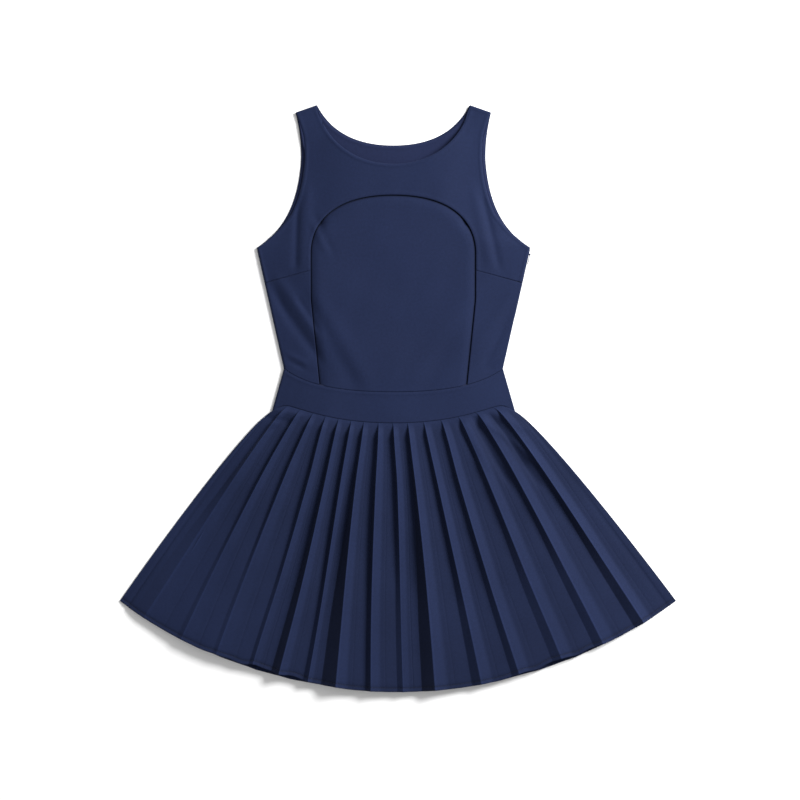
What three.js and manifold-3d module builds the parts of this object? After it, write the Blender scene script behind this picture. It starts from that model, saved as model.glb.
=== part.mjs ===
// A sleeveless cheer uniform laid flat, face up: a princess-seamed bodice, a curved waistband
// and a knife-pleated fan skirt, with a concealed zip in the wearer's left side seam.
// Millimetres. +Z is up off the table, +Y points to the neck, +X is the wearer's left.
// Heights on the garment are measured from the waist at the side seam.

import * as THREE from 'three';
import { mergeVertices } from 'three/addons/utils/BufferGeometryUtils.js';
import Module from 'manifold-3d';

const wasm = await Module();
wasm.setup();

// ---- Driving dimensions ----
// Cloth
const clothThickness = 0.8;
const interfacingThickness = 0.2;
const stayTapeThickness = 0.4;
const seamGap = 0.4; // between panels that are sewn edge to edge
const layerGap = 0.3; // between layers that lie on each other

// Bodice outline
const waistHalfWidth = 164;
const underarmHalfWidth = 205;
const underarmHeight = 180;
const armholeHalfWidth = 138.4; // where the armholes cut in furthest
const armholeNarrowHeight = 310;
const frontArmholeInset = 5.5; // how much deeper the front's armholes are cut than the back's
const shoulderTipHalfWidth = 146.6;
const shoulderTipHeight = 382.5;
const neckPointHalfWidth = 114.4;
const neckPointHeight = 393.8;
const frontNeckHeight = 304.5;
const backNeckHeight = 333.5;
const frontNeckBend = 7; // how far each neckline bows in below the shoulder
const backNeckBend = 14;

// Seams inside the bodice
const archFootHalfWidth = 110.4;
const archHalfWidth = 123.4;
const archStraightHeight = 102;
const archSpringHeight = 170;
const archTopHeight = 258;
const dartSeamHeight = 145.5; // where it leaves the arched seam
const dartSeamFall = 0.27; // mm down for each mm outwards
const backSeamHalfWidth = 92;

// Waistband and skirt
const waistSeamDrop = 36.3; // centre of the curved seam below the side waist
const bandDepth = 46.5; // at the centre
const bandCornerHalfWidth = 182.5;
const bandCornerDrop = 67.5;
const hemDrop = 484.5; // lowest point of the hem below the side waist
const hemHalfWidth = 417;
const hemRadius = 711;
const skirtSway = 7; // the skirt lies a little towards the wearer's left
const skirtBow = 30; // how far the side edges swell from a straight line
const pleatCount = 15;
const pleatFoldShare = 0.2; // the steep side of a pleat, as a share of its pitch
const frontPleatDepth = { top: 2.5, hem: 9 };
const backPleatDepth = { top: 1.2, hem: 5 };
const flatMargin = 0.15; // share of the half width beside each side seam that isn't pleated

// How the layers stand apart as the dress lies
const bodiceCrown = 13;
const hemCrown = 13;
const crownSlopeWidth = 74;
const armholeGap = 8;
const lipWidth = 4; // the front's edge turns down over this width to meet the back

// Facings and label
const frontFacingDepth = 46;
const backFacingDepth = 50;
const facingSideHeight = 142;
const facingInset = 1;
const label = { length: 30, width: 20, thickness: 0.3, height: 60, inset: 6 };

// Concealed zip
const zipTapeThickness = 0.4;
const zipTapeWidth = 11;
const zipCoilWidth = 1.2;
const zipWingThickness = 0.5;
const zipWebThickness = 0.6;
const zipPlateThickness = 0.8;
const zipPlay = 0.3; // between the slider and what it slides on
const zipStart = 3; // from the underarm to the top stops
const zipStopLength = 2.5;
const zipSliderLength = 9;
const zipLengthInSkirt = 45;
const zipEdgeInset = 1.2; // tape fold from the garment's edge
const zipTab = { length: 15, width: 4, thickness: 0.9, reach: 1.8, pinRadius: 0.4, eyeRadius: 0.7 };

// ---- Heights that follow from the layers ----
const facingLayer = clothThickness + layerGap;
const bandStack = interfacingThickness + layerGap + facingLayer;
const sideStack = facingLayer + 2 * bandStack;
const shoulderStack = 3 * facingLayer + stayTapeThickness + layerGap;
const zipStack =
  clothThickness + 2 * (layerGap + zipTapeThickness + zipPlay + zipWingThickness) +
  2 * (zipPlay + zipCoilWidth + zipPlay) + zipWebThickness;

const point = (x, y) => new THREE.Vector2(x, y);
const { lerp } = THREE.MathUtils;
const ramp = (value, from, to) => THREE.MathUtils.clamp((value - from) / (to - from), 0, 1);

// ---- Outline curves, for x >= 0 ----
const bandCorner = point(bandCornerHalfWidth, -bandCornerDrop);
const waistSide = point(waistHalfWidth, 0);
const underarm = point(underarmHalfWidth, underarmHeight);
const shoulderTip = point(shoulderTipHalfWidth, shoulderTipHeight);
const neckPoint = point(neckPointHalfWidth, neckPointHeight);

const armholeLower = new THREE.CubicBezierCurve(
  underarm,
  point(lerp(armholeHalfWidth, underarmHalfWidth, 0.4), underarmHeight + 25),
  point(armholeHalfWidth + 4.6, lerp(underarmHeight, armholeNarrowHeight, 0.5)),
  point(armholeHalfWidth, armholeNarrowHeight),
);
const armholeUpper = new THREE.CubicBezierCurve(
  armholeLower.v3,
  point(armholeHalfWidth - 0.9, lerp(armholeNarrowHeight, shoulderTipHeight, 0.34)),
  point(
    lerp(armholeHalfWidth, shoulderTipHalfWidth, 0.3),
    lerp(armholeNarrowHeight, shoulderTipHeight, 0.68),
  ),
  shoulderTip,
);
const armhole = [...armholeLower.getPoints(9), ...armholeUpper.getPoints(4).slice(1)];
/** The front's armhole, cut deeper between the underarm and the shoulder. */
const frontArmhole = armhole.map((p) => {
  const rise = ramp(p.y, underarmHeight + 15, underarmHeight + 50);
  const close = ramp(p.y, shoulderTipHeight - 35, shoulderTipHeight);
  return point(p.x - frontArmholeInset * rise * (1 - close), p.y);
});
const sideProfile = [bandCorner, waistSide, ...armhole];

/** Neckline from the shoulder's neck point down to the centre. */
function neckline(lowest, bend) {
  return new THREE.CubicBezierCurve(
    neckPoint,
    point(neckPointHalfWidth - bend, lerp(lowest, neckPointHeight, 0.55)),
    point(neckPointHalfWidth * 0.62, lowest),
    point(0, lowest),
  ).getPoints(10);
}

/** y on a list of points that runs left to right in x. */
function heightOn(points, x) {
  const next = Math.max(1, points.findIndex((p) => p.x >= x));
  const [a, b] = [points[next - 1], points[next]];
  return lerp(a.y, b.y, ramp(x, a.x, b.x));
}

/** Half width of the bodice and band at a height. */
function halfWidth(y) {
  const turned = sideProfile.map((p) => point(p.y, p.x));
  const held = THREE.MathUtils.clamp(y, turned[0].x, turned.at(-1).x);
  return heightOn(turned, held);
}

/** The curved seam under the bodice, from the centre to the side. */
function waistSeam(shift) {
  return new THREE.CubicBezierCurve(
    point(0, shift - waistSeamDrop),
    point(waistHalfWidth * 0.55, shift - waistSeamDrop),
    point(waistHalfWidth * 0.82, shift - waistSeamDrop * 0.63),
    point(waistHalfWidth, shift - 1.5),
  ).getPoints(12);
}

/** The seam between the band and the skirt, from side to side. */
function skirtSeam(shift) {
  const centre = -waistSeamDrop - bandDepth;
  const half = [
    [1, -bandCornerDrop],
    [0.87, centre + 25.8],
    [0.66, centre + 14.8],
    [0.47, centre + 5.8],
  ].map(([share, y]) => point(share * bandCornerHalfWidth, y + shift));
  const mirror = half.map((p) => point(-p.x, p.y));
  return new THREE.SplineCurve([...mirror, point(0, centre + shift), ...half.reverse()]).getPoints(40);
}

const halfSkirtSeam = (shift) => skirtSeam(shift).filter((p) => p.x > -0.001);

// ---- Solids ----
/** A closed geometry as a solid for cutting. */
function solidOf(geometry) {
  const bare = geometry.clone();
  bare.deleteAttribute('normal');
  bare.deleteAttribute('uv');
  const merged = mergeVertices(bare, 1e-4);
  return new wasm.Manifold(new wasm.Mesh({
    numProp: 3,
    vertProperties: new Float32Array(merged.attributes.position.array),
    triVerts: new Uint32Array(merged.index.array),
  }));
}

/** A cut solid as a geometry again. */
function geometryOf(solid) {
  const mesh = solid.getMesh();
  const geometry = new THREE.BufferGeometry();
  geometry.setAttribute('position', new THREE.BufferAttribute(new Float32Array(mesh.vertProperties), 3));
  geometry.setIndex(new THREE.BufferAttribute(new Uint32Array(mesh.triVerts), 1));
  geometry.computeVertexNormals();
  return geometry;
}

/** An upright slab with the given outline, from low to high. */
function prism(shape, low, high) {
  return new THREE.ExtrudeGeometry(shape, { depth: high - low, bevelEnabled: false }).translate(0, 0, low);
}

const tall = (shape) => solidOf(prism(shape, -20, 60));

/** A shape from its right half, given from the bottom centre up to the top centre. */
function symmetricShape(half) {
  const right = half.map((p) => point(Math.max(0, p.x), p.y));
  const left = right.filter((p) => p.x > 0).map((p) => point(-p.x, p.y)).reverse();
  return new THREE.Shape([...right, ...left]);
}

/** A box bent into a sheet: place(i, j) gives the corner in column i of row j as a Vector3. */
function sheet(columns, rows, thickness, place) {
  const geometry = new THREE.BoxGeometry(2, 2, 2, columns - 1, rows - 1, 1);
  const position = geometry.attributes.position;
  for (let k = 0; k < position.count; k += 1) {
    const i = Math.round((position.getX(k) + 1) / 2 * (columns - 1));
    const j = Math.round((position.getY(k) + 1) / 2 * (rows - 1));
    const corner = place(i, j);
    const lift = position.getZ(k) > 0 ? thickness : 0;
    position.setXYZ(k, corner.x, corner.y, corner.z + lift);
  }
  // The underside's squares are split along the same diagonals as the top's, so layers lie parallel.
  const { start, count } = geometry.groups[5];
  const index = geometry.index;
  for (let k = start; k < start + count; k += 6) {
    const [a, b, c, d] = [k, k + 1, k + 4, k + 2].map((n) => index.getX(n));
    [a, b, c, a, c, d].forEach((corner, n) => index.setX(k + n, corner));
  }
  return geometry;
}

// ---- The front as it lies: underside of its outer cloth ----
/** Height of the front's underside, for the bodice and band. */
function frontHeight(x, y) {
  const inset = Math.max(0, halfWidth(y) - Math.abs(x));
  const onZipSide = x > 0;
  const open = ramp(y, underarmHeight, underarmHeight + 25);
  const closing = ramp(y, armholeNarrowHeight + 25, shoulderTipHeight);
  const side = lerp(onZipSide ? zipStack : sideStack, armholeGap, open);
  const edge = lerp(side, shoulderStack, closing);
  const lip = onZipSide ? edge : lerp(lerp(facingLayer, edge, ramp(inset, 0, lipWidth)), edge, open);
  const crown = lerp(bodiceCrown, shoulderStack, closing);
  const rise = lerp(edge, crown, ramp(inset, lipWidth, crownSlopeWidth));
  return inset < lipWidth ? lip : rise;
}

const insets = [-2, 0, lipWidth, (lipWidth + crownSlopeWidth) / 2, crownSlopeWidth];
const rowHeights = [
  -waistSeamDrop - bandDepth - 8, -bandCornerDrop, -waistSeamDrop, 0, underarmHeight / 3,
  underarmHeight * 2 / 3, underarmHeight, underarmHeight + 12, underarmHeight + 25,
  lerp(underarmHeight, armholeNarrowHeight, 0.4), lerp(underarmHeight, armholeNarrowHeight, 0.7),
  armholeNarrowHeight, armholeNarrowHeight + 25, lerp(armholeNarrowHeight + 25, shoulderTipHeight, 0.5),
  shoulderTipHeight, neckPointHeight + 8,
];

/** The crowned front layer, lowered by drop below the outer cloth. */
function frontLayer(drop, thickness) {
  const columns = 2 * insets.length + 1;
  return solidOf(sheet(columns, rowHeights.length, thickness, (i, j) => {
    const y = rowHeights[j];
    const k = Math.min(i, columns - 1 - i);
    const side = Math.sign(i - insets.length);
    const x = side * (k < insets.length ? halfWidth(y) - insets[k] : 0);
    return new THREE.Vector3(x, y, frontHeight(x, y) - drop);
  }));
}

// ---- Outlines ----
const halfGap = seamGap / 2;

/** Right half of the bodice outline with the given armhole and neckline. */
function bodiceHalf(hole, neck) {
  return [...waistSeam(halfGap), ...hole, neckPoint, ...neck.slice(1)];
}

/** Right half of the arched panel, larger by grow. */
function archHalf(grow) {
  const foot = -waistSeamDrop - bandDepth;
  const round = new THREE.CubicBezierCurve(
    point(archHalfWidth + grow, archSpringHeight),
    point(archHalfWidth + grow, lerp(archSpringHeight, archTopHeight, 0.62)),
    point(archHalfWidth * 0.65 + grow, archTopHeight + grow),
    point(0, archTopHeight + grow),
  );
  return [
    point(0, foot),
    point(archFootHalfWidth + grow, foot),
    point(archFootHalfWidth + grow, -waistSeamDrop / 2),
    point(archHalfWidth + grow, archStraightHeight), ...round.getPoints(14),
  ];
}

/** Everything below the dart seams, from side to side. */
function belowDarts(shift) {
  const reach = underarmHalfWidth + 60;
  const level = archHalfWidth - 20;
  const fall = (reach - archHalfWidth) * dartSeamFall;
  return symmetricShape([
    point(0, -hemDrop), point(reach, -hemDrop), point(reach, dartSeamHeight - fall + shift),
    point(level, dartSeamHeight + (archHalfWidth - level) * dartSeamFall + shift),
    point(0, dartSeamHeight + (archHalfWidth - level) * dartSeamFall + shift),
  ]);
}

/** Half a plane, from x outwards on the side given by sign. */
function beyond(x, sign) {
  const reach = 700;
  const far = x + sign * reach;
  const corners = [point(x, -reach), point(far, -reach), point(far, reach), point(x, reach)];
  return tall(new THREE.Shape(sign > 0 ? corners : corners.reverse()));
}

/** Right half of a neck and armhole facing. */
function facingHalf(hole, neck, depth) {
  const sideX = halfWidth(facingSideHeight) - lipWidth - facingInset;
  const lowest = neck.at(-1).y - depth;
  const lower = new THREE.CubicBezierCurve(
    point(0, lowest), point(sideX * 0.45, lowest),
    point(sideX * 0.7, facingSideHeight + 3), point(sideX, facingSideHeight),
  ).getPoints(10);
  const inner = (p) => {
    const inset = lerp(lipWidth + facingInset, facingInset, ramp(p.y, underarmHeight, underarmHeight + 25));
    return point(p.x - inset, p.y);
  };
  return [
    ...lower, ...hole.map(inner).map((p, k) => (k === 0 ? point(p.x, p.y - facingInset) : p)),
    point(neckPoint.x + facingInset, neckPoint.y),
    ...neck.slice(1).map((p) => point(p.x * (1 + facingInset / neckPointHalfWidth), p.y - facingInset)),
  ];
}

/** Right half of the band, drawn in by inset at the sides. */
function bandHalf(inset) {
  const top = waistSeam(-halfGap - inset / 4).reverse();
  const bottom = halfSkirtSeam(halfGap + inset / 4);
  const corner = bottom.at(-1);
  return [
    ...bottom.filter((p) => p.x < corner.x - inset), point(corner.x - inset, corner.y),
    ...top.map((p) => point(Math.min(p.x, waistHalfWidth - inset), p.y)),
  ];
}

// ---- Zip path, down the wearer's left side seam ----
const zipEnd = (() => {
  const share = zipLengthInSkirt / skirtEdgeLength();
  return skirtPoint(1, share);
})();
const zipPath = [underarm, waistSide, bandCorner, zipEnd];
const zipLengths = zipPath.slice(1).map((p, k) => p.distanceTo(zipPath[k]));
const zipMarks = zipLengths.reduce((marks, length) => [...marks, marks.at(-1) + length], [0]);
const zipLength = zipMarks.at(-1);
const zipDirections = zipPath.slice(1).map((p, k) => p.clone().sub(zipPath[k]).normalize());
const outwards = (direction) => point(-direction.y, direction.x);

/** Position at s along the zip and n outwards from the garment's edge. */
function zipPoint(s, n) {
  const last = zipDirections.length - 1;
  const inside = zipMarks.findIndex((mark, k) => k > 0 && s < mark - 1e-6);
  const segment = inside < 0 ? last : inside - 1;
  const joint = zipMarks.findIndex((mark) => Math.abs(s - mark) < 1e-6);
  const normal = outwards(zipDirections[segment]);
  if (joint > 0 && joint <= last) {
    const other = outwards(zipDirections[joint - 1]);
    normal.add(other);
    normal.divideScalar(normal.dot(other));
  }
  const along = zipDirections[segment].clone().multiplyScalar(s - zipMarks[segment]);
  return zipPath[segment].clone().add(along).addScaledVector(normal, n);
}

/** A section, drawn as n across and z up, carried along the zip from one mark to another. */
function alongZip(section, from, to) {
  const marks = [from, ...zipMarks.filter((mark) => mark > from + 0.01 && mark < to - 0.01), to];
  const steps = marks.length - 1;
  const geometry = new THREE.ExtrudeGeometry(section, { depth: 1, steps, bevelEnabled: false });
  const position = geometry.attributes.position;
  for (let k = 0; k < position.count; k += 1) {
    const place = zipPoint(marks[Math.round(position.getZ(k) * steps)], position.getX(k));
    position.setXYZ(k, place.x, place.y, position.getY(k));
  }
  return geometry;
}

/** A rectangle between two opposite corners. */
function rectangle(x1, y1, x2, y2) {
  return new THREE.Shape([point(x1, y1), point(x2, y1), point(x2, y2), point(x1, y2)]);
}

/** The room that facings and interfacings leave to the zip. */
const zipRoom = solidOf(alongZip(rectangle(-zipTapeWidth - 6, -20, 40, 60), -40, zipLength));

// ---- Skirt ----
/** Where a fold line u (-1 to 1 across) is at v (0 at the seam, 1 at the hem). */
function skirtPoint(u, v) {
  const seamX = u * bandCornerHalfWidth;
  const seamY = heightOn(skirtSeam(0), seamX);
  const hemX = u * hemHalfWidth;
  const hemY = hemRadius - hemDrop - Math.sqrt(hemRadius ** 2 - hemX ** 2);
  const bow = skirtBow * v ** 0.4 * (1 - v) * u ** 3;
  return point(lerp(seamX, hemX, v) + bow + skirtSway * v, lerp(seamY, hemY, v));
}

function skirtEdgeLength() {
  return skirtPoint(1, 0).distanceTo(skirtPoint(1, 1));
}

const foldShares = Array.from({ length: pleatCount }, (_, k) => [k, k + pleatFoldShare]).flat();
const foldLines = [...foldShares, pleatCount].map((share) => 2 * share / pleatCount - 1);
const skirtRows = [1, 0.8, 0.55, 0.32, 0.14, 0.04, 0]; // from the hem up

/** A knife-pleated sheet over base(u, v), cut off along the band. */
function skirt(pleatDepth, base) {
  const pleated = sheet(foldLines.length, skirtRows.length, clothThickness, (i, j) => {
    const [u, v] = [foldLines[i], skirtRows[j]];
    const margin = ramp(1 - Math.abs(u), flatMargin, flatMargin + 0.1);
    const depth = lerp(pleatDepth.top, pleatDepth.hem, v) * margin;
    const place = skirtPoint(u, v);
    const tuck = v === 0 ? 2 : 0;
    return new THREE.Vector3(place.x, place.y + tuck, base(u, v) + (i % 2 === 1 ? depth : 0));
  });
  const seam = skirtSeam(-halfGap);
  const [first, last] = [seam[0], seam.at(-1)];
  const band = new THREE.Shape([
    ...seam, point(last.x + 40, last.y), point(300, 50), point(-300, 50), point(first.x - 40, first.y),
  ]);
  return geometryOf(solidOf(pleated).subtract(tall(band)));
}

/** Underside of the front skirt. */
function frontSkirtHeight(u, v) {
  const seamX = u * bandCornerHalfWidth;
  const atSeam = frontHeight(seamX, heightOn(skirtSeam(0), seamX));
  const below = lerp(facingLayer, hemCrown, ramp(1 - Math.abs(u), 0, 0.3));
  const zipShare = zipLengthInSkirt / skirtEdgeLength();
  return lerp(atSeam, below, ramp(v, zipShare + 0.05, 0.5));
}

// ---- Materials ----
/** A matt cloth or plastic of one colour. */
function cloth(color, roughness = 0.85) {
  return new THREE.MeshStandardMaterial({ color, roughness, metalness: 0 });
}
const shellCloth = cloth(0x283353);
const pleatedCloth = cloth(0x263150);
const facingCloth = cloth(0x2f3555);
const interfacingCloth = cloth(0x3a3f4d, 0.95);
const tapeCloth = cloth(0x1f2743, 0.8);
const coilPlastic = cloth(0x1c2440, 0.45);
const labelCloth = cloth(0xd8d8d2, 0.7);
const zipMetal = new THREE.MeshStandardMaterial({ color: 0x222b49, roughness: 0.4, metalness: 0.6 });

const uniform = new THREE.Group();

/** Adds a named piece. */
function piece(name, geometry, material, parent = uniform) {
  const mesh = new THREE.Mesh(geometry, material);
  mesh.name = name;
  parent.add(mesh);
  return mesh;
}

// ---- Bodice ----
function buildFrontBodice() {
  const outline = symmetricShape(bodiceHalf(frontArmhole, neckline(frontNeckHeight, frontNeckBend)));
  const front = frontLayer(0, clothThickness).intersect(tall(outline));
  const aroundArch = front.subtract(tall(symmetricShape(archHalf(halfGap))));
  const insideArch = front.intersect(tall(symmetricShape(archHalf(-halfGap))));
  const lower = aroundArch.intersect(tall(belowDarts(-halfGap)));
  piece('front_yoke', geometryOf(aroundArch.subtract(tall(belowDarts(halfGap)))), shellCloth);
  piece('centre_front_panel', geometryOf(insideArch), shellCloth);
  piece('side_front_panel_left', geometryOf(lower.intersect(beyond(0, 1))), shellCloth);
  piece('side_front_panel_right', geometryOf(lower.intersect(beyond(0, -1))), shellCloth);
}

function buildBackBodice() {
  const outline = symmetricShape(bodiceHalf(armhole, neckline(backNeckHeight, backNeckBend)));
  const back = solidOf(prism(outline, 0, clothThickness));
  const innerEdge = backSeamHalfWidth - halfGap;
  const outerEdge = backSeamHalfWidth + halfGap;
  const centre = back.intersect(beyond(innerEdge, -1)).intersect(beyond(-innerEdge, 1));
  piece('back_centre_panel', geometryOf(centre), shellCloth);
  piece('back_side_panel_left', geometryOf(back.intersect(beyond(outerEdge, 1))), shellCloth);
  piece('back_side_panel_right', geometryOf(back.intersect(beyond(-outerEdge, -1))), shellCloth);
}

function buildFacings() {
  const frontNeck = neckline(frontNeckHeight, frontNeckBend);
  const frontShape = symmetricShape(facingHalf(frontArmhole, frontNeck, frontFacingDepth));
  const front = frontLayer(facingLayer, clothThickness).intersect(tall(frontShape)).subtract(zipRoom);
  piece('front_facing', geometryOf(front), facingCloth);
  const backNeck = neckline(backNeckHeight, backNeckBend);
  const backShape = symmetricShape(facingHalf(armhole, backNeck, backFacingDepth));
  const back = solidOf(prism(backShape, facingLayer, facingLayer + clothThickness)).subtract(zipRoom);
  piece('back_facing', geometryOf(back), facingCloth);
}

function buildShoulderTapes() {
  const low = 2 * facingLayer;
  const tapeWidth = 6;
  for (const [name, sign] of [['left', 1], ['right', -1]]) {
    const corners = [
      point(shoulderTip.x - 2, shoulderTip.y - 2 - tapeWidth), point(shoulderTip.x - 2, shoulderTip.y - 2),
      point(neckPoint.x + 2, neckPoint.y - 2), point(neckPoint.x + 2, neckPoint.y - 2 - tapeWidth),
    ].map((p) => point(sign * p.x, p.y));
    const strip = new THREE.Shape(sign > 0 ? corners : corners.reverse());
    piece(`shoulder_stay_tape_${name}`, prism(strip, low, low + stayTapeThickness), tapeCloth);
  }
}

function buildLabel() {
  const outer = -(halfWidth(label.height) - label.inset);
  const shape = rectangle(outer, label.height, outer + label.length, label.height + label.width);
  piece('care_label', prism(shape, facingLayer, facingLayer + label.thickness), labelCloth);
}

// ---- Waistband ----
function buildBand() {
  const outline = tall(symmetricShape(bandHalf(0)));
  const inner = tall(symmetricShape(bandHalf(lipWidth + facingInset))).subtract(zipRoom);
  const backLayer = (low, thickness) => solidOf(prism(rectangle(-300, -300, 300, 300), low, low + thickness));
  const interfacing = interfacingThickness + layerGap;
  piece('waistband_front', geometryOf(frontLayer(0, clothThickness).intersect(outline)), shellCloth);
  piece('waistband_interfacing_front',
    geometryOf(frontLayer(interfacing, interfacingThickness).intersect(inner)), interfacingCloth);
  piece('waistband_facing_front',
    geometryOf(frontLayer(interfacing + facingLayer, clothThickness).intersect(inner)), facingCloth);
  piece('waistband_back', geometryOf(backLayer(0, clothThickness).intersect(outline)), shellCloth);
  piece('waistband_interfacing_back',
    geometryOf(backLayer(facingLayer, interfacingThickness).intersect(inner)), interfacingCloth);
  piece('waistband_facing_back',
    geometryOf(backLayer(facingLayer + interfacing, clothThickness).intersect(inner)), facingCloth);
}

// ---- Skirt ----
function buildSkirt() {
  piece('skirt_front', skirt(frontPleatDepth, frontSkirtHeight), pleatedCloth);
  piece('skirt_back', skirt(backPleatDepth, () => 0), pleatedCloth);
}

// ---- Zip ----
// Levels of the zip's layers above the table, from the back tape up to the front tape.
const backTapeLow = clothThickness + layerGap;
const lowerWingLow = backTapeLow + zipTapeThickness + zipPlay;
const backCoilLow = lowerWingLow + zipWingThickness + zipPlay;
const webLow = backCoilLow + zipCoilWidth + zipPlay;
const frontCoilLow = webLow + zipWebThickness + zipPlay;
const upperWingLow = frontCoilLow + zipCoilWidth + zipPlay;
const frontTapeLow = upperWingLow + zipWingThickness + zipPlay;
const zipMiddle = webLow + zipWebThickness / 2;

// Places across the zip, from the garment's edge inwards.
const foldOuter = -zipEdgeInset;
const foldInner = foldOuter - zipTapeThickness;
const coilOuter = foldInner - zipPlay;
const coilInner = coilOuter - zipCoilWidth;
const plateOuter = coilInner - zipPlay;
const plateInner = plateOuter - zipPlateThickness;

function buildTapes() {
  const inner = foldOuter - zipTapeWidth;
  const slot = webLow - zipPlay;
  const lower = new THREE.Shape([
    point(inner, backTapeLow), point(foldOuter, backTapeLow), point(foldOuter, slot), point(foldInner, slot),
    point(foldInner, backTapeLow + zipTapeThickness), point(inner, backTapeLow + zipTapeThickness),
  ]);
  const mirrored = lower.getPoints().map((p) => point(p.x, 2 * zipMiddle - p.y)).reverse();
  piece('zip_tape_back', alongZip(lower, zipStart, zipLength), tapeCloth);
  piece('zip_tape_front', alongZip(new THREE.Shape(mirrored), zipStart, zipLength), tapeCloth);
}

function buildCoils() {
  const radius = zipCoilWidth / 2;
  const from = zipStart + zipStopLength + layerGap;
  const to = zipLength - zipStopLength - layerGap;
  for (const [name, low] of [['back', backCoilLow], ['front', frontCoilLow]]) {
    const round = new THREE.Path().absarc(coilInner + radius, low + radius, radius, 0, 2 * Math.PI);
    const section = new THREE.Shape(round.getPoints(4).slice(0, -1));
    piece(`zip_coil_${name}`, alongZip(section, from, to), coilPlastic);
    const stop = rectangle(coilInner, low, coilOuter, low + zipCoilWidth);
    piece(`zip_top_stop_${name}`, alongZip(stop, zipStart, zipStart + zipStopLength), zipMetal);
  }
  const bridge = rectangle(coilInner, backCoilLow, coilOuter, frontCoilLow + zipCoilWidth);
  piece('zip_bottom_stop', alongZip(bridge, zipLength - zipStopLength, zipLength), zipMetal);
}

// The slider and its tab are drawn upright, with y up the seam and x out from the garment's edge.
const zipGroup = new THREE.Group();
zipGroup.position.set(underarm.x, underarm.y, 0);
zipGroup.rotation.z = Math.atan2(underarm.x - waistSide.x, -(underarm.y - waistSide.y)) - Math.PI;
uniform.add(zipGroup);

const sliderTop = -(zipStart + zipStopLength + layerGap);
const hingeHeight = sliderTop - zipSliderLength / 2;

/** A bar along the seam with the given section in x and z. */
function sliderBar(x1, z1, x2, z2) {
  const bar = new THREE.BoxGeometry(x2 - x1, zipSliderLength, z2 - z1);
  return solidOf(bar.translate((x1 + x2) / 2, hingeHeight, (z1 + z2) / 2));
}

function disc(radius, low, high) {
  return new THREE.CylinderGeometry(radius, radius, high - low, 16)
    .rotateX(Math.PI / 2).translate(zipTab.reach, hingeHeight, (low + high) / 2);
}

function buildSlider() {
  const webHigh = webLow + zipWebThickness;
  const lugRadius = zipTab.eyeRadius + 0.6;
  const lug = new THREE.Shape([
    point(plateOuter, hingeHeight - lugRadius), point(zipTab.reach, hingeHeight - lugRadius),
    point(zipTab.reach, hingeHeight + lugRadius), point(plateOuter, hingeHeight + lugRadius),
  ]);
  const slider = sliderBar(plateInner, lowerWingLow, plateOuter, upperWingLow + zipWingThickness)
    .add(sliderBar(plateOuter, lowerWingLow, coilOuter, lowerWingLow + zipWingThickness))
    .add(sliderBar(plateOuter, upperWingLow, coilOuter, upperWingLow + zipWingThickness))
    .add(solidOf(prism(lug, webLow, webHigh)))
    .add(solidOf(disc(lugRadius, webLow, webHigh)))
    .subtract(solidOf(disc(zipTab.eyeRadius, webLow - 1, webHigh + 1)));
  piece('zip_slider', geometryOf(slider), zipMetal, zipGroup);
}

function buildPullTab() {
  const webHigh = webLow + zipWebThickness;
  const cheekRadius = zipTab.eyeRadius + 0.3;
  const cheek = 0.5;
  const low = webLow - layerGap - cheek;
  const high = webHigh + layerGap + cheek;
  const half = zipTab.thickness / 2;
  const foot = hingeHeight - zipTab.length;
  const clear = hingeHeight - zipTab.eyeRadius - 1.1;
  const blade = rectangle(zipTab.reach - half, foot, zipTab.reach + half, clear);
  const neck = rectangle(zipTab.reach - half, clear - 0.5, zipTab.reach + half, hingeHeight);
  const tab = solidOf(prism(blade, zipMiddle - zipTab.width / 2, zipMiddle + zipTab.width / 2))
    .add(solidOf(prism(neck, low, low + cheek)))
    .add(solidOf(prism(neck, high - cheek, high)))
    .add(solidOf(disc(cheekRadius, low, low + cheek)))
    .add(solidOf(disc(cheekRadius, high - cheek, high)))
    .add(solidOf(disc(zipTab.pinRadius, low, high)));
  piece('zip_pull_tab', geometryOf(tab), zipMetal, zipGroup);
}

buildFrontBodice();
buildBackBodice();
buildFacings();
buildShoulderTapes();
buildLabel();
buildBand();
buildSkirt();
buildTapes();
buildCoils();
buildSlider();
buildPullTab();

// The origin is the middle of the outline, on the table.
const box = new THREE.Box3().setFromObject(uniform, true);
const middle = box.getCenter(new THREE.Vector3());
uniform.position.set(-middle.x, -middle.y, -box.min.z);

export default uniform;
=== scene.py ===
"""A navy sleeveless cheer uniform laid flat, face up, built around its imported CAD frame.

Pattern sizes are in millimetres, as a dressmaker writes them; meshes are written in metres.
x is measured from the bodice's middle line and y from the waist at the side seam.
"""

import logging
import math
from dataclasses import dataclass, field
from enum import Enum
from typing import Callable

import bmesh
import bpy
import numpy as np
from mathutils import Matrix, Vector


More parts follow.
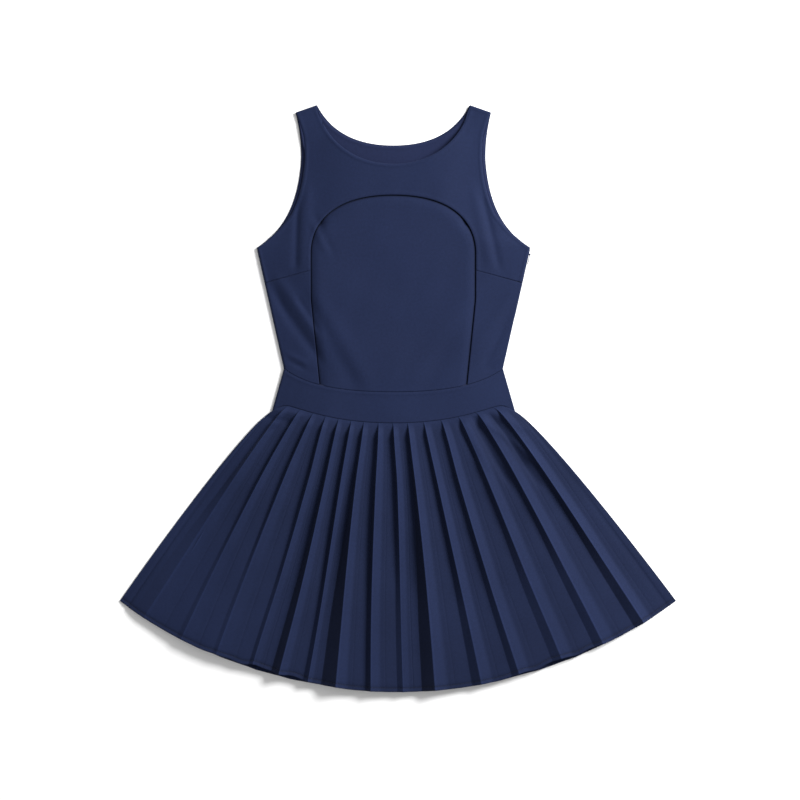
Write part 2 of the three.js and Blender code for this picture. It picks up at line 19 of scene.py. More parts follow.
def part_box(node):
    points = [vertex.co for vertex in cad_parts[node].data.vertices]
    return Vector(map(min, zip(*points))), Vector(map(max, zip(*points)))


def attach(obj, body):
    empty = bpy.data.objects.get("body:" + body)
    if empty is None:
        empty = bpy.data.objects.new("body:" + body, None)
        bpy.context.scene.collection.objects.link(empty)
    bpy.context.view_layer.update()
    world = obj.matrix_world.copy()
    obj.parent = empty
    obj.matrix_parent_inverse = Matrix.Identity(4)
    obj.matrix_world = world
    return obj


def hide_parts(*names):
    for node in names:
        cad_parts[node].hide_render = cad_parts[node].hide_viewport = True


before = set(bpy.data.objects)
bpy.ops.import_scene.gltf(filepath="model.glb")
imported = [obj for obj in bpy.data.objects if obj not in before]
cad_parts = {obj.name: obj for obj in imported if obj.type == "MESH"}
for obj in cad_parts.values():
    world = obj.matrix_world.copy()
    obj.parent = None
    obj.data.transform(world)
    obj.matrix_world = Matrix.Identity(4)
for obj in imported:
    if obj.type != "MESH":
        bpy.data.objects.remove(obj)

log = logging.getLogger("cheer_uniform")
logging.basicConfig(level=logging.INFO, format="%(name)s: %(message)s")

MM = 0.001
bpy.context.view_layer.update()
Points = np.ndarray
Height = Callable[[np.ndarray, np.ndarray], np.ndarray]


class Edge(Enum):
    """How a panel ends along one of its four edges."""

    SEAM = "seam"
    SUNK = "sunk"
    WAIST = "waist"
    FOLD = "fold"
    FACED = "faced"
    OPEN = "open"


class Face(Enum):
    """Which half of the uniform a piece belongs to."""

    FRONT = "front"
    BACK = "back"


# ---------------------------------------------------------------- small geometry helpers


def ramp(value: np.ndarray, start: float, end: float) -> np.ndarray:
    """0 at start, 1 at end, straight between."""
    return np.clip((np.asarray(value, float) - start) / (end - start), 0.0, 1.0)


def ease(value: np.ndarray, start: float = 0.0, end: float = 1.0) -> np.ndarray:
    """0 at start, 1 at end, with a soft beginning and end."""
    t = ramp(value, start, end)
    return t * t * (3 - 2 * t)


def mix(a: np.ndarray, b: np.ndarray, t: np.ndarray) -> np.ndarray:
    """a where t is 0, b where t is 1."""
    return a + (b - a) * t


def bezier(corners: list[tuple[float, float]], count: int) -> Points:
    """Points along a cubic Bezier curve.

    Args:
        corners: its four control points.
        count: how many points to give.

    Returns:
        The points, one a row.
    """
    t = np.linspace(0, 1, count)[:, None]
    a, b, c, d = (np.array(p, float) for p in corners)
    return a * (1 - t) ** 3 + 3 * b * t * (1 - t) ** 2 + 3 * c * t**2 * (1 - t) + d * t**3


def along(points: Points, shares: np.ndarray) -> Points:
    """Points at shares of a line's length.

    Args:
        points: the line's corners, one a row.
        shares: places from 0 to 1.

    Returns:
        One point a row for each share.
    """
    steps = np.linalg.norm(np.diff(points, axis=0), axis=1)
    marks = np.concatenate([[0.0], np.cumsum(steps)])
    at = np.clip(shares, 0, 1) * marks[-1]
    return np.stack([np.interp(at, marks, points[:, k]) for k in range(points.shape[1])], axis=1)


def distance_to(line: Points, x: np.ndarray, y: np.ndarray) -> np.ndarray:
    """The shortest distance from each place to a line.

    Args:
        line: its corners, one a row.
        x: places across.
        y: places along.

    Returns:
        The distances.
    """
    nearest = np.full(x.shape, np.inf)
    for a, b in zip(line[:-1, :2], line[1:, :2]):
        run = b - a
        share = np.clip(((x - a[0]) * run[0] + (y - a[1]) * run[1]) / max(float(run @ run), 1e-9), 0, 1)
        nearest = np.minimum(nearest, np.hypot(x - a[0] - share * run[0], y - a[1] - share * run[1]))
    return nearest


def half_turned(line: Points) -> Points:
    """A line that starts on the middle line, with its mirror image before it."""
    return np.vstack([line[::-1] * [-1, 1], line[1:]])


def match_up(parts: list[tuple[Points, float, int]], inner: Points) -> tuple[Points, Points]:
    """Pairs points of an outline's parts with points of a line inside it.

    Args:
        parts: (line, share of the inner line used up when it ends, count of points) of each part.
        inner: the line inside.

    Returns:
        The inner and the outer points, as many of each.
    """
    outside, inside, start = [], [], 0.0
    for line, until, count in parts:
        t = np.linspace(0, 1, count, endpoint=until == 1.0)
        outside.append(along(line, t))
        inside.append(along(inner, mix(start, until, t)))
        start = until
    return np.vstack(inside), np.vstack(outside)


def graded(count: int, crowd: float = 0.85) -> np.ndarray:
    """Shares from 0 to 1 that crowd towards both ends, for rolled edges."""
    t = np.linspace(0, 1, count)
    return t - crowd * np.sin(2 * math.pi * t) / (2 * math.pi)


def ripple(x: np.ndarray, y: np.ndarray, wavelength: float, seed: int) -> np.ndarray:
    """Soft seeded unevenness of cloth, about -1 to 1.

    Args:
        x: places across.
        y: places along.
        wavelength: rough distance between swells, in the units of x and y.
        seed: which unevenness.

    Returns:
        The swell at each place.
    """
    draw = np.random.default_rng(seed)
    total = np.zeros(np.broadcast(x, y).shape)
    waves = 7
    for _ in range(waves):
        angle, phase = draw.uniform(0, 2 * math.pi, 2)
        turn = 2 * math.pi / (wavelength * draw.uniform(0.7, 1.6))
        total = total + np.sin((x * math.cos(angle) + y * math.sin(angle)) * turn + phase)
    return total / math.sqrt(waves)


def ridge(x: np.ndarray, y: np.ndarray, start: tuple[float, float], end: tuple[float, float],
          width: float) -> np.ndarray:
    """A soft fold, 1 along a line and fading away from it.

    Args:
        x: places across.
        y: places along.
        start: where the line starts.
        end: where it ends.
        width: how far the fold reaches to each side.

    Returns:
        The fold's share at each place.
    """
    a, b = np.array(start, float), np.array(end, float)
    direction = (b - a) / np.linalg.norm(b - a)
    length = float(np.linalg.norm(b - a))
    along_line = (x - a[0]) * direction[0] + (y - a[1]) * direction[1]
    across = (x - a[0]) * -direction[1] + (y - a[1]) * direction[0]
    beyond = np.maximum(0, np.maximum(-along_line, along_line - length))
    return np.exp(-((across / width) ** 2) - (beyond / (2.5 * width)) ** 2)


# ---------------------------------------------------------------- the pattern


@dataclass(frozen=True)
class Pattern:
    """The uniform's cutting pattern, in millimetres from the middle line and the side waist."""

    neck_point: tuple[float, float] = (114.4, 393.8)
    shoulder_tip: tuple[float, float] = (146.6, 382.5)
    armhole_narrow: tuple[float, float] = (138.4, 310.0)
    underarm: tuple[float, float] = (205.0, 180.0)
    waist: tuple[float, float] = (164.0, 0.0)
    band_corner: tuple[float, float] = (182.5, -67.5)
    front_neck: float = 304.5
    back_neck: float = 333.5
    arch_foot: float = 110.4
    arch_half: float = 123.4
    arch_straight: float = 102.0
    arch_spring: float = 170.0
    arch_top: float = 258.0
    front_armhole_inset: float = 5.5
    dart: float = 145.5
    dart_fall: float = 0.27
    back_seam: float = 92.0
    waist_drop: float = 36.3
    band_depth: float = 46.5
    hem_drop: float = 484.5
    hem_half: float = 417.0
    hem_radius: float = 711.0
    skirt_sway: float = 7.0
    skirt_bow: float = 30.0
    cloth: float = 0.8
    layer: float = 1.1

    @property
    def axis(self) -> float:
        """x of the bodice's middle line in the frame, in millimetres."""
        low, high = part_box("front_yoke")
        return (low.x + high.x) / 2 / MM

    @property
    def level(self) -> float:
        """y of the side waist in the frame, in millimetres."""
        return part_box("front_yoke")[1].y / MM - self.neck_point[1]

    def armhole(self, face: Face = Face.BACK) -> Points:
        """The armhole from the underarm up to the shoulder's tip; the front's is cut deeper."""
        (ux, uy), (nx, ny), (tx, ty) = self.underarm, self.armhole_narrow, self.shoulder_tip
        lower = bezier([(ux, uy), (mix(nx, ux, 0.4), uy + 25), (nx + 4.6, (uy + ny) / 2), (nx, ny)], 40)
        bend = [(nx - 0.9, mix(ny, ty, 0.34)), (mix(nx, tx, 0.3), mix(ny, ty, 0.68))]
        upper = bezier([(nx, ny), *bend, (tx, ty)], 16)
        line = np.vstack([lower, upper[1:]])
        if face is Face.FRONT:
            deeper = ramp(line[:, 1], uy + 15, uy + 50) * (1 - ramp(line[:, 1], ty - 35, ty))
            line = line - np.stack([self.front_armhole_inset * deeper, 0 * deeper], axis=1)
        return line

    def neckline(self, face: Face) -> Points:
        """Half a neckline, from the shoulder down to the middle."""
        x, y = self.neck_point
        lowest, bend = (self.front_neck, 7) if face is Face.FRONT else (self.back_neck, 14)
        return bezier([(x, y), (x - bend, mix(lowest, y, 0.55)), (x * 0.62, lowest), (0, lowest)], 30)

    def half_width(self, y: np.ndarray) -> np.ndarray:
        """Half the width of the bodice or band at a height."""
        profile = np.vstack([[self.band_corner], [self.waist], self.armhole()])
        return np.interp(y, profile[:, 1], profile[:, 0])

    def soft_width(self, y: np.ndarray) -> np.ndarray:
        """Half the width of the bodice, evened out over the turn at the underarm."""
        levels = np.arange(-200.0, 460.0)
        reach = 35
        window = np.hanning(2 * reach + 1)
        widths = np.pad(self.half_width(levels), reach, mode="edge")
        evened = np.convolve(widths, window / window.sum(), mode="valid")
        return np.interp(y, levels, evened)

    def waist_seam(self) -> Points:
        """The curved seam under the bodice, from the middle to the side."""
        x, drop = self.waist[0], self.waist_drop
        return bezier([(0, -drop), (x * 0.55, -drop), (x * 0.82, -drop * 0.63), (x, -1.5)], 40)

    def skirt_seam(self) -> Points:
        """The seam under the band, from side to side."""
        middle = -self.waist_drop - self.band_depth
        corner = self.band_corner[0]
        hollow = bezier([(0, middle), (corner * 0.5, middle), (corner * 0.74, middle + 21),
                         (corner * 0.87, middle + 25.8)], 30)
        turn = bezier([tuple(hollow[-1]), (corner * 0.92, middle + 26.5), (corner * 0.97, middle + 20),
                       self.band_corner], 12)
        return half_turned(np.vstack([hollow, turn[1:]]))

    def arch(self) -> Points:
        """The arched seam, from its left foot over the top to its right foot."""
        half, top, spring = self.arch_half, self.arch_top, self.arch_spring
        foot = np.interp(self.arch_foot, *self.waist_seam().T)
        up = np.array([(self.arch_foot, foot), (self.arch_half, self.arch_straight), (half, spring)])
        over = bezier([(half, spring), (half, mix(spring, top, 0.62)), (half * 0.65, top), (0, top)], 40)
        right = np.vstack([along(up, np.linspace(0, 1, 40)), over[1:]])
        return np.vstack([right * [-1, 1], right[-2::-1]])

    def dart_line(self) -> Points:
        """The right dart seam, from the arch out to the side seam."""
        half, dart, fall = self.arch_half, self.dart, self.dart_fall
        outer = next(x for x in np.arange(half, 260, 0.25) if x >= self.half_width(dart - (x - half) * fall))
        return np.array([(half, dart), (outer, dart - (outer - half) * fall)])

    def skirt_point(self, seam: np.ndarray, hem: np.ndarray, v: np.ndarray) -> tuple[np.ndarray, np.ndarray]:
        """Where a fold line is, v of the way down from the seam to the hem.

        Args:
            seam: its place on the seam, as a share of the half width, -1 to 1.
            hem: its place on the hem, the same way.
            v: 0 at the seam, 1 at the hem.

        Returns:
            x and y.
        """
        line = self.skirt_seam()
        seam_x = seam * self.band_corner[0]
        seam_y = np.interp(seam_x, line[:, 0], line[:, 1])
        hem_x = hem * self.hem_half
        hem_y = self.hem_radius - self.hem_drop - np.sqrt(self.hem_radius**2 - hem_x**2)
        bow = self.skirt_bow * np.power(v, 0.4) * (1 - v) * hem**3
        return mix(seam_x, hem_x, v) + bow + self.skirt_sway * v, mix(seam_y, hem_y, v)


PATTERN = Pattern()


# Soft folds where the bodice is pulled towards its seams: height, from, to, width.
DRAG_FOLDS = (
    (-2.4, (-182, 112), (-118, 24), 8), (1.9, (-162, 118), (-114, 56), 9), (-1.6, (-138, 96), (-116, 62), 5),
    (-1.2, (-118, 80), (-66, -12), 11), (1.1, (-106, 92), (-52, 0), 13),
    (-1.2, (-168, 14), (-140, 2), 4), (1.0, (-166, 24), (-136, 10), 4), (-1.0, (166, 12), (146, 0), 4),
    (-0.8, (116, 82), (44, -30), 14), (0.7, (104, 96), (30, -10), 15),
    (-1.3, (184, 84), (142, 16), 7), (0.9, (176, 104), (128, 40), 9),
    (-1.9, (-144, 246), (-146, 160), 5), (1.3, (-130, 250), (-133, 168), 9),
    (-1.6, (137, 244), (156, 160), 5), (1.3, (124, 250), (141, 172), 8),
    (0.7, (-118, 208), (-104, 180), 5), (-0.6, (-112, 218), (-92, 176), 5),
)


@dataclass(frozen=True)
class Lie:
    """How the layers stand apart as the uniform lies on a table."""

    crown: float = 13.0
    slope: float = 74.0
    armhole_gap: float = 3.4
    zip_gap: float = 8.0
    side_gap: float = 4.3
    shoulder_gap: float = 4.0
    lip: float = 4.0
    zip_lip: float = 1.1
    zip_lip_level: float = 5.2

    def relief(self, x: np.ndarray, y: np.ndarray) -> np.ndarray:
        """Soft drag folds and unevenness of the bodice's front."""
        folds = sum(height * ridge(x, y, start, end, width) for height, start, end, width in DRAG_FOLDS)
        swell = 0.45 * ripple(x, y, 120, 3) + 0.16 * ripple(x, y, 46, 8)
        inside = ease(PATTERN.half_width(y) - np.abs(x), 1, 22)
        return (folds + swell) * inside * (1 - ease(y, 330, 384))

    def front(self, x: np.ndarray, y: np.ndarray) -> np.ndarray:
        """Height of the underside of the front's outer cloth."""
        inset = np.maximum(0, PATTERN.half_width(y) - np.abs(x))
        zip_side = x > 0
        opened = ease(y, 180, 205)
        closing = ease(y, 330, 384)
        side = mix(np.where(zip_side, self.zip_gap, self.side_gap), self.armhole_gap, opened)
        edge = mix(side, self.shoulder_gap, closing)
        crown = mix(self.crown, self.shoulder_gap, closing)
        rise = mix(edge, crown, ease(PATTERN.soft_width(y) - np.abs(x), -14, self.slope + 14))
        level = np.where(zip_side, self.zip_lip_level, PATTERN.layer)
        width = np.where(zip_side, self.zip_lip, self.lip)
        curve = np.sqrt(np.clip(1 - (1 - np.clip(inset / width, 0, 1)) ** 2, 0, 1))
        rolled = mix(level, rise, curve)
        return mix(rolled, rise, opened) + self.relief(x, y)

    def back(self, x: np.ndarray, y: np.ndarray) -> np.ndarray:
        """Height of the underside of the back's outer cloth: on the table, its edge turned up to the zip."""
        inset = np.maximum(0, PATTERN.half_width(y) - np.abs(x))
        curve = np.sqrt(np.clip(1 - (1 - np.clip(inset / self.zip_lip, 0, 1)) ** 2, 0, 1))
        upturned = 2.6 * (1 - curve) * (1 - ease(y, 176, 182))
        return np.where(x > 0, upturned, 0.0)


LIE = Lie()


# ---------------------------------------------------------------- sheets of cloth


def stand(name: str, data: bpy.types.ID) -> bpy.types.Object:
    """An object for a mesh, lamp or camera, in the scene and at the origin."""
    thing = bpy.data.objects.new(name, data)
    bpy.context.scene.collection.objects.link(thing)
    return thing


def get_corners(mesh: bpy.types.Mesh) -> Points:
    """A mesh's corners, one a row."""
    corners = np.empty(len(mesh.vertices) * 3, np.float32)
    mesh.vertices.foreach_get("co", corners)
    return corners.reshape(-1, 3)


def set_corners(mesh: bpy.types.Mesh, places: Points) -> None:
    """Moves a smooth mesh's corners to pattern places in millimetres, set in the uniform's frame."""
    placed = (places + [PATTERN.axis, PATTERN.level, 0]) * MM
    mesh.vertices.foreach_set("co", placed.astype(np.float32).ravel())
    mesh.polygons.foreach_set("use_smooth", np.ones(len(mesh.polygons), bool))
    mesh.update()


@dataclass
class Cloth:
    """One sheet of cloth as places, heights and cloth coordinates on a grid.

    Args:
        x: place across, in millimetres, rows by columns.
        y: place along.
        z: height of its upper surface.
        grain: cloth coordinates (across, along) in millimetres.
        tone_and_painted_light: a factor on its dye: painted shade along seams, in creases and in the skirt's
            valleys, and a painted highlight on fold edges; 1 where nothing is painted.
    """

    x: np.ndarray
    y: np.ndarray
    z: np.ndarray
    grain: tuple[np.ndarray, np.ndarray]
    tone_and_painted_light: np.ndarray

    def area(self, flat: bool = True) -> float:
        """The cloth's area in square metres, flattened onto the table or along its folds."""
        height = self.z * (0 if flat else 1)
        p = np.stack([self.x, self.y, height], axis=-1) * MM
        a, b = p[1:, 1:] - p[:-1, :-1], p[:-1, 1:] - p[1:, :-1]
        return float(np.linalg.norm(np.cross(a, b), axis=-1).sum() / 2)

    def make(self, name: str, thickness: float = 0.6) -> bpy.types.Object:
        """Makes the sheet's mesh.

        Args:
            name: the piece's name.
            thickness: of the cloth, in millimetres, below the surface.

        Returns:
            The piece, at the origin, with a Solidify modifier.
        """
        rows, columns = self.x.shape
        bm = bmesh.new()
        bmesh.ops.create_grid(bm, x_segments=columns - 1, y_segments=rows - 1, size=0.5)
        mesh = bpy.data.meshes.new(name)
        bm.to_mesh(mesh)
        bm.free()
        corners = get_corners(mesh)
        i = np.rint((corners[:, 0] + 0.5) * (columns - 1)).astype(int)
        j = np.rint((corners[:, 1] + 0.5) * (rows - 1)).astype(int)
        place = np.stack([self.x[j, i], self.y[j, i], self.z[j, i]], axis=1)
        set_corners(mesh, place)
        loops = np.empty(len(mesh.loops), np.int32)
        mesh.loops.foreach_get("vertex_index", loops)
        weave = np.stack([self.grain[0][j, i], self.grain[1][j, i]], axis=1) * MM
        mesh.uv_layers.new(name="grain").data.foreach_set("uv", weave[loops].astype(np.float32).ravel())
        # Painted light and shade, kept at each corner for the material to multiply the dye by.
        tone_and_painted_light = mesh.attributes.new("tone_and_painted_light", "FLOAT", "POINT")
        tone_and_painted_light.data.foreach_set("value", self.tone_and_painted_light[j, i].astype(np.float32))
        if sum(p.normal.z * p.area for p in mesh.polygons) < 0:
            mesh.flip_normals()
        piece = stand(name, mesh)
        solid = piece.modifiers.new("cloth_thickness", "SOLIDIFY")
        solid.thickness = thickness * MM
        solid.offset = -1
        solid.use_even_offset = False
        return piece


@dataclass(frozen=True)
class Roll:
    """How a cloth edge rolls down, in millimetres.

    Args:
        width: over which it turns down.
        drop: how far it turns down.
        sink: how far the cloth beside it sags.
        reach: how far that sag reaches.
        bead: how much the turned-in cloth stands up beside the edge.
        painted_shade: how dark the painted shade in the seam gap at the edge is.
        shade_width: how wide that painted shade is.
    """

    width: float
    drop: float
    sink: float = 0.0
    reach: float = 12.0
    bead: float = 0.0
    painted_shade: float = 0.0
    shade_width: float = 1.0


# How each kind of edge rolls down, and how dark a painted shade lies in its seam gap.
ROLLS = {
    Edge.SEAM: Roll(1.8, 0.7, painted_shade=0.16, shade_width=0.9),
    Edge.WAIST: Roll(1.2, 0.3, bead=0.35, painted_shade=0.0),
    Edge.SUNK: Roll(1.8, 1.2, sink=2.6, reach=15.0, painted_shade=0.66, shade_width=2.2),
    Edge.FOLD: Roll(1.2, 1.2, bead=0.3, painted_shade=0.3, shade_width=0.5),
    Edge.FACED: Roll(1.5, 1.3, bead=0.5),
    Edge.OPEN: Roll(1.0, 0.0),
}


@dataclass(frozen=True)
class Panel:
    """A four-sided panel of cloth between four edge lines.

    Args:
        bottom: corners of its lower edge, left to right.
        top: corners of its upper edge, left to right.
        left: corners of its left edge, upwards.
        right: corners of its right edge, upwards.
        ends: how it ends at the bottom, top, left and right.
        height: underside of the cloth.
        lift: how far its surface lies above that.
    """

    bottom: Points
    top: Points
    left: Points
    right: Points
    ends: tuple[Edge, Edge, Edge, Edge]
    height: Height
    lift: float
    columns: int = 90
    rows: int = 90

    def cloth(self) -> Cloth:
        """Fills the panel between its edges."""
        u, v = graded(self.columns), graded(self.rows)
        b, t = along(self.bottom, u)[None, :, :], along(self.top, u)[None, :, :]
        l, r = along(self.left, v)[:, None, :], along(self.right, v)[:, None, :]
        s, q = u[None, :, None], v[:, None, None]
        corners = ((1 - s) * (1 - q) * self.bottom[0] + s * (1 - q) * self.bottom[-1]
                   + (1 - s) * q * self.top[0] + s * q * self.top[-1])
        p = (1 - q) * b + q * t + (1 - s) * l + s * r - corners
        lines = (self.bottom, self.top, self.left, self.right)
        return rolled_cloth(p[..., 0], p[..., 1], lines, self.ends, self.height, self.lift)


def rolled_cloth(x: np.ndarray, y: np.ndarray, lines: tuple[Points, ...], ends: tuple[Edge, ...],
                 height: Height, lift: float) -> Cloth:
    """Cloth over what lies below it, rolled down along its edges, with painted shade in the seam gaps there.

    Args:
        x: places across.
        y: places along.
        lines: its edges.
        ends: how it ends at each of them.
        height: underside of the cloth.
        lift: how far its surface lies above that.

    Returns:
        The cloth.
    """
    z = height(x, y) + lift
    tone_and_painted_light = np.ones_like(z)
    for line, end in zip(lines, ends):
        distance = distance_to(line, x, y)
        # Each edge rolls the cloth down and lays painted shade along the seam gap.
        z, tone_and_painted_light = z - rolled(distance, end), tone_and_painted_light * painted_seam_shade(distance, end)
    return Cloth(x, y, z, (x, y), tone_and_painted_light)


def painted_seam_shade(distance: np.ndarray, end: Edge) -> np.ndarray:
    """How much of its colour cloth keeps at a distance from its edge, under the painted shade in the seam gap."""
    roll = ROLLS[end]
    return 1 - roll.painted_shade * np.exp(-((distance / roll.shade_width) ** 2))


def rolled(distance: np.ndarray, end: Edge) -> np.ndarray:
    """How far cloth at a distance from its edge has rolled down, in millimetres."""
    roll = ROLLS[end]
    share = 1 - np.clip(distance / roll.width, 0, 1)
    sag = roll.sink * (1 - np.clip(distance / roll.reach, 0, 1)) ** 2
    bead = roll.bead * np.exp(-(((distance - 3.4) / 2.0) ** 2))
    return roll.drop * (1 - np.sqrt(np.clip(1 - share**2, 0, 1))) + sag - bead


def ribbon(inner: Points, outer: Points, ends: tuple[Edge, Edge, Edge, Edge], height: Height, lift: float,
           columns: int, rows: int) -> Cloth:
    """Cloth between an inner line and an outer line that run side by side.

    Args:
        inner: points of the inner line, as many as of the outer.
        outer: points of the outer line.
        ends: how it ends at the inner line, the outer line, the first and the last crossing.
        height: underside of the cloth.
        lift: how far its surface lies above that.
        columns: how many crossings.
        rows: how many lines from inner to outer.

    Returns:
        The cloth.
    """
    shares = graded(columns, 0.5)
    marks = np.linspace(0, 1, len(inner))
    a = np.stack([np.interp(shares, marks, inner[:, k]) for k in (0, 1)], axis=1)[None]
    b = np.stack([np.interp(shares, marks, outer[:, k]) for k in (0, 1)], axis=1)[None]
    q = graded(rows, 0.8)[:, None, None]
    p = mix(a, b, q)
    return rolled_cloth(p[..., 0], p[..., 1], (inner, outer, p[:, 0], p[:, -1]), ends, height, lift)


# ---------------------------------------------------------------- finishes


def linear(colour: tuple[int, int, int]) -> tuple[float, float, float, float]:
    """A screen colour of 0 to 255 as a shader colour."""
    parts = [c / 255 for c in colour]
    return (*(c / 12.92 if c <= 0.04045 else ((c + 0.055) / 1.055) ** 2.4 for c in parts), 1.0)


def new_group(name: str, inputs: list[tuple[str, str, object]],
              outputs: list[tuple[str, str]]) -> bpy.types.NodeTree:
    """An empty shader node group with named sockets.

    Args:
        name: of the group.
        inputs: (name, socket type, default) of each input.
        outputs: (name, socket type) of each output.

    Returns:
        The group, with its input and output nodes.
    """
    tree = bpy.data.node_groups.new(name, "ShaderNodeTree")
    for label, kind, default in inputs:
        socket = tree.interface.new_socket(label, in_out="INPUT", socket_type=kind)
        socket.default_value = default
    for label, kind in outputs:
        tree.interface.new_socket(label, in_out="OUTPUT", socket_type=kind)
    tree.nodes.new("NodeGroupInput")
    tree.nodes.new("NodeGroupOutput")
    return tree


@dataclass
class Wiring:
    """Short ways to add and join shader nodes in one tree."""

    tree: bpy.types.NodeTree

    def add(self, kind: str, **settings: object) -> bpy.types.Node:
        """A new node with the given settings."""
        node = self.tree.nodes.new(kind)
        for label, value in settings.items():
            setattr(node, label, value)
        return node

    def join(self, source: bpy.types.NodeSocket, target: bpy.types.NodeSocket) -> None:
        """Links two sockets."""
        self.tree.links.new(source, target)

    def math(self, operation: str, a: object, b: object = None, c: object = None) -> bpy.types.NodeSocket:
        """A Math node on sockets or numbers, giving its result."""
        node = self.add("ShaderNodeMath", operation=operation)
        for k, value in enumerate((a, b, c)):
            if isinstance(value, bpy.types.NodeSocket):
                self.join(value, node.inputs[k])
            elif value is not None:
                node.inputs[k].default_value = value
        return node.outputs[0]

    def noise(self, vector: bpy.types.NodeSocket, scale: float, detail: float,
              rough: float) -> bpy.types.NodeSocket:
        """A Noise texture's value.

        Args:
            vector: where it is read.
            scale: how fine it is.
            detail: how many octaves it has.
            rough: how strong the finer ones are.

        Returns:
            The value's socket.
        """
        node = self.add("ShaderNodeTexNoise")
        self.join(vector, node.inputs["Vector"])
        for label, value in (("Scale", scale), ("Detail", detail), ("Roughness", rough)):
            node.inputs[label].default_value = value
        return node.outputs[0]

    def bump(self, height: bpy.types.NodeSocket, strength: float, distance: float,
             shader: bpy.types.Node) -> None:
        """Raises a shader's surface by a height.

        Args:
            height: the height's socket.
            strength: how much of it shows.
            distance: what a height of 1 means, in metres.
            shader: the shader.
        """
        node = self.add("ShaderNodeBump")
        node.inputs["Strength"].default_value = strength
        node.inputs["Distance"].default_value = distance
        self.join(height, node.inputs["Height"])
        self.join(node.outputs[0], shader.inputs["Normal"])

    def shade(self, colour: bpy.types.NodeSocket, factor: bpy.types.NodeSocket) -> bpy.types.NodeSocket:
        """colour multiplied by a grey factor."""
        node = self.add("ShaderNodeVectorMath", operation="SCALE")
        self.join(colour, node.inputs[0])
        self.join(factor, node.inputs["Scale"])
        return node.outputs[0]


def crepe_group() -> bpy.types.NodeTree:
    """The crepe weave that every cloth piece uses: threads, pebbled crimp and uneven dye."""
    known = bpy.data.node_groups.get("crepe_weave")
    if known:
        return known
    tree = new_group(
        "crepe_weave",
        [("Dye", "NodeSocketColor", (0.02, 0.03, 0.08, 1)), ("Threads per Metre", "NodeSocketFloat", 1800.0),
         ("Unevenness", "NodeSocketFloat", 0.1), ("Roughness", "NodeSocketFloat", 0.8)],
        [("Colour", "NodeSocketColor"), ("Roughness", "NodeSocketFloat"), ("Height", "NodeSocketFloat")],
    )
    wire = Wiring(tree)
    given, result = tree.nodes["Group Input"], tree.nodes["Group Output"]
    grain = wire.add("ShaderNodeUVMap", uv_map="grain").outputs[0]
    split = wire.add("ShaderNodeSeparateXYZ")
    wire.join(grain, split.inputs[0])
    turn = wire.math("MULTIPLY", given.outputs["Threads per Metre"], 2 * math.pi)
    crimp = wire.noise(grain, 620.0, 3.0, 0.6)
    sway = wire.math("MULTIPLY", crimp, 2.4)
    warp = wire.math("SINE", wire.math("ADD", wire.math("MULTIPLY", split.outputs[0], turn), sway))
    weft = wire.math("SINE", wire.math("ADD", wire.math("MULTIPLY", split.outputs[1], turn), sway))
    over = wire.math("MULTIPLY", warp, weft)
    pebble = wire.noise(grain, 900.0, 2.0, 0.55)
    height = wire.math("MULTIPLY_ADD", over, 0.22, wire.math("MULTIPLY", pebble, 0.8))
    slub = wire.noise(grain, 260.0, 4.0, 0.65)
    dye = wire.noise(grain, 9.0, 3.0, 0.5)
    patchy = wire.math("MULTIPLY", wire.math("SUBTRACT", dye, 0.5), 0.5)
    tone_and_painted_light = wire.math("ADD", wire.math("SUBTRACT", slub, 0.5), patchy)
    tone_and_painted_light = wire.math("MULTIPLY_ADD", over, 0.16, tone_and_painted_light)
    factor = wire.math("MULTIPLY_ADD", tone_and_painted_light, given.outputs["Unevenness"], 1.0)
    wire.join(wire.shade(given.outputs["Dye"], factor), result.inputs["Colour"])
    rough = wire.math("MULTIPLY_ADD", wire.math("SUBTRACT", pebble, 0.5), 0.18, given.outputs["Roughness"])
    wire.join(rough, result.inputs["Roughness"])
    wire.join(height, result.inputs["Height"])
    return tree


def new_material(name: str) -> tuple[bpy.types.Material, Wiring, bpy.types.Node]:
    """A new material, its wiring and its shader."""
    material = bpy.data.materials.new(name)
    material.use_nodes = True
    return material, Wiring(material.node_tree), material.node_tree.nodes["Principled BSDF"]


@dataclass(frozen=True)
class ClothFinish:
    """A woven cloth's finish."""

    name: str
    slot: str
    dye: tuple[int, int, int]
    threads: float = 1800.0
    unevenness: float = 0.5
    roughness: float = 0.82
    sheen: float = 0.08
    relief: float = 0.35

    def material(self) -> bpy.types.Material:
        """The finish as a material, made once."""
        known = bpy.data.materials.get(self.name)
        if known:
            return known
        material, wire, shader = new_material(self.name)
        weave = wire.add("ShaderNodeGroup", node_tree=crepe_group())
        for label, value in (("Dye", linear(self.dye)), ("Threads per Metre", self.threads),
                             ("Unevenness", self.unevenness), ("Roughness", self.roughness)):
            weave.inputs[label].default_value = value
        # The dye multiplied by the mesh's painted light and shade.
        tone_and_painted_light = wire.add("ShaderNodeAttribute", attribute_name="tone_and_painted_light").outputs["Fac"]
        wire.join(wire.shade(weave.outputs["Colour"], tone_and_painted_light), shader.inputs["Base Color"])
        wire.join(weave.outputs["Roughness"], shader.inputs["Roughness"])
        wire.bump(weave.outputs["Height"], self.relief, 0.0004, shader)
        for label, value in (("Sheen Weight", self.sheen), ("Sheen Roughness", 0.45),
                             ("Sheen Tint", linear((120, 135, 190))), ("Specular IOR Level", 0.12)):
            shader.inputs[label].default_value = value
        return material


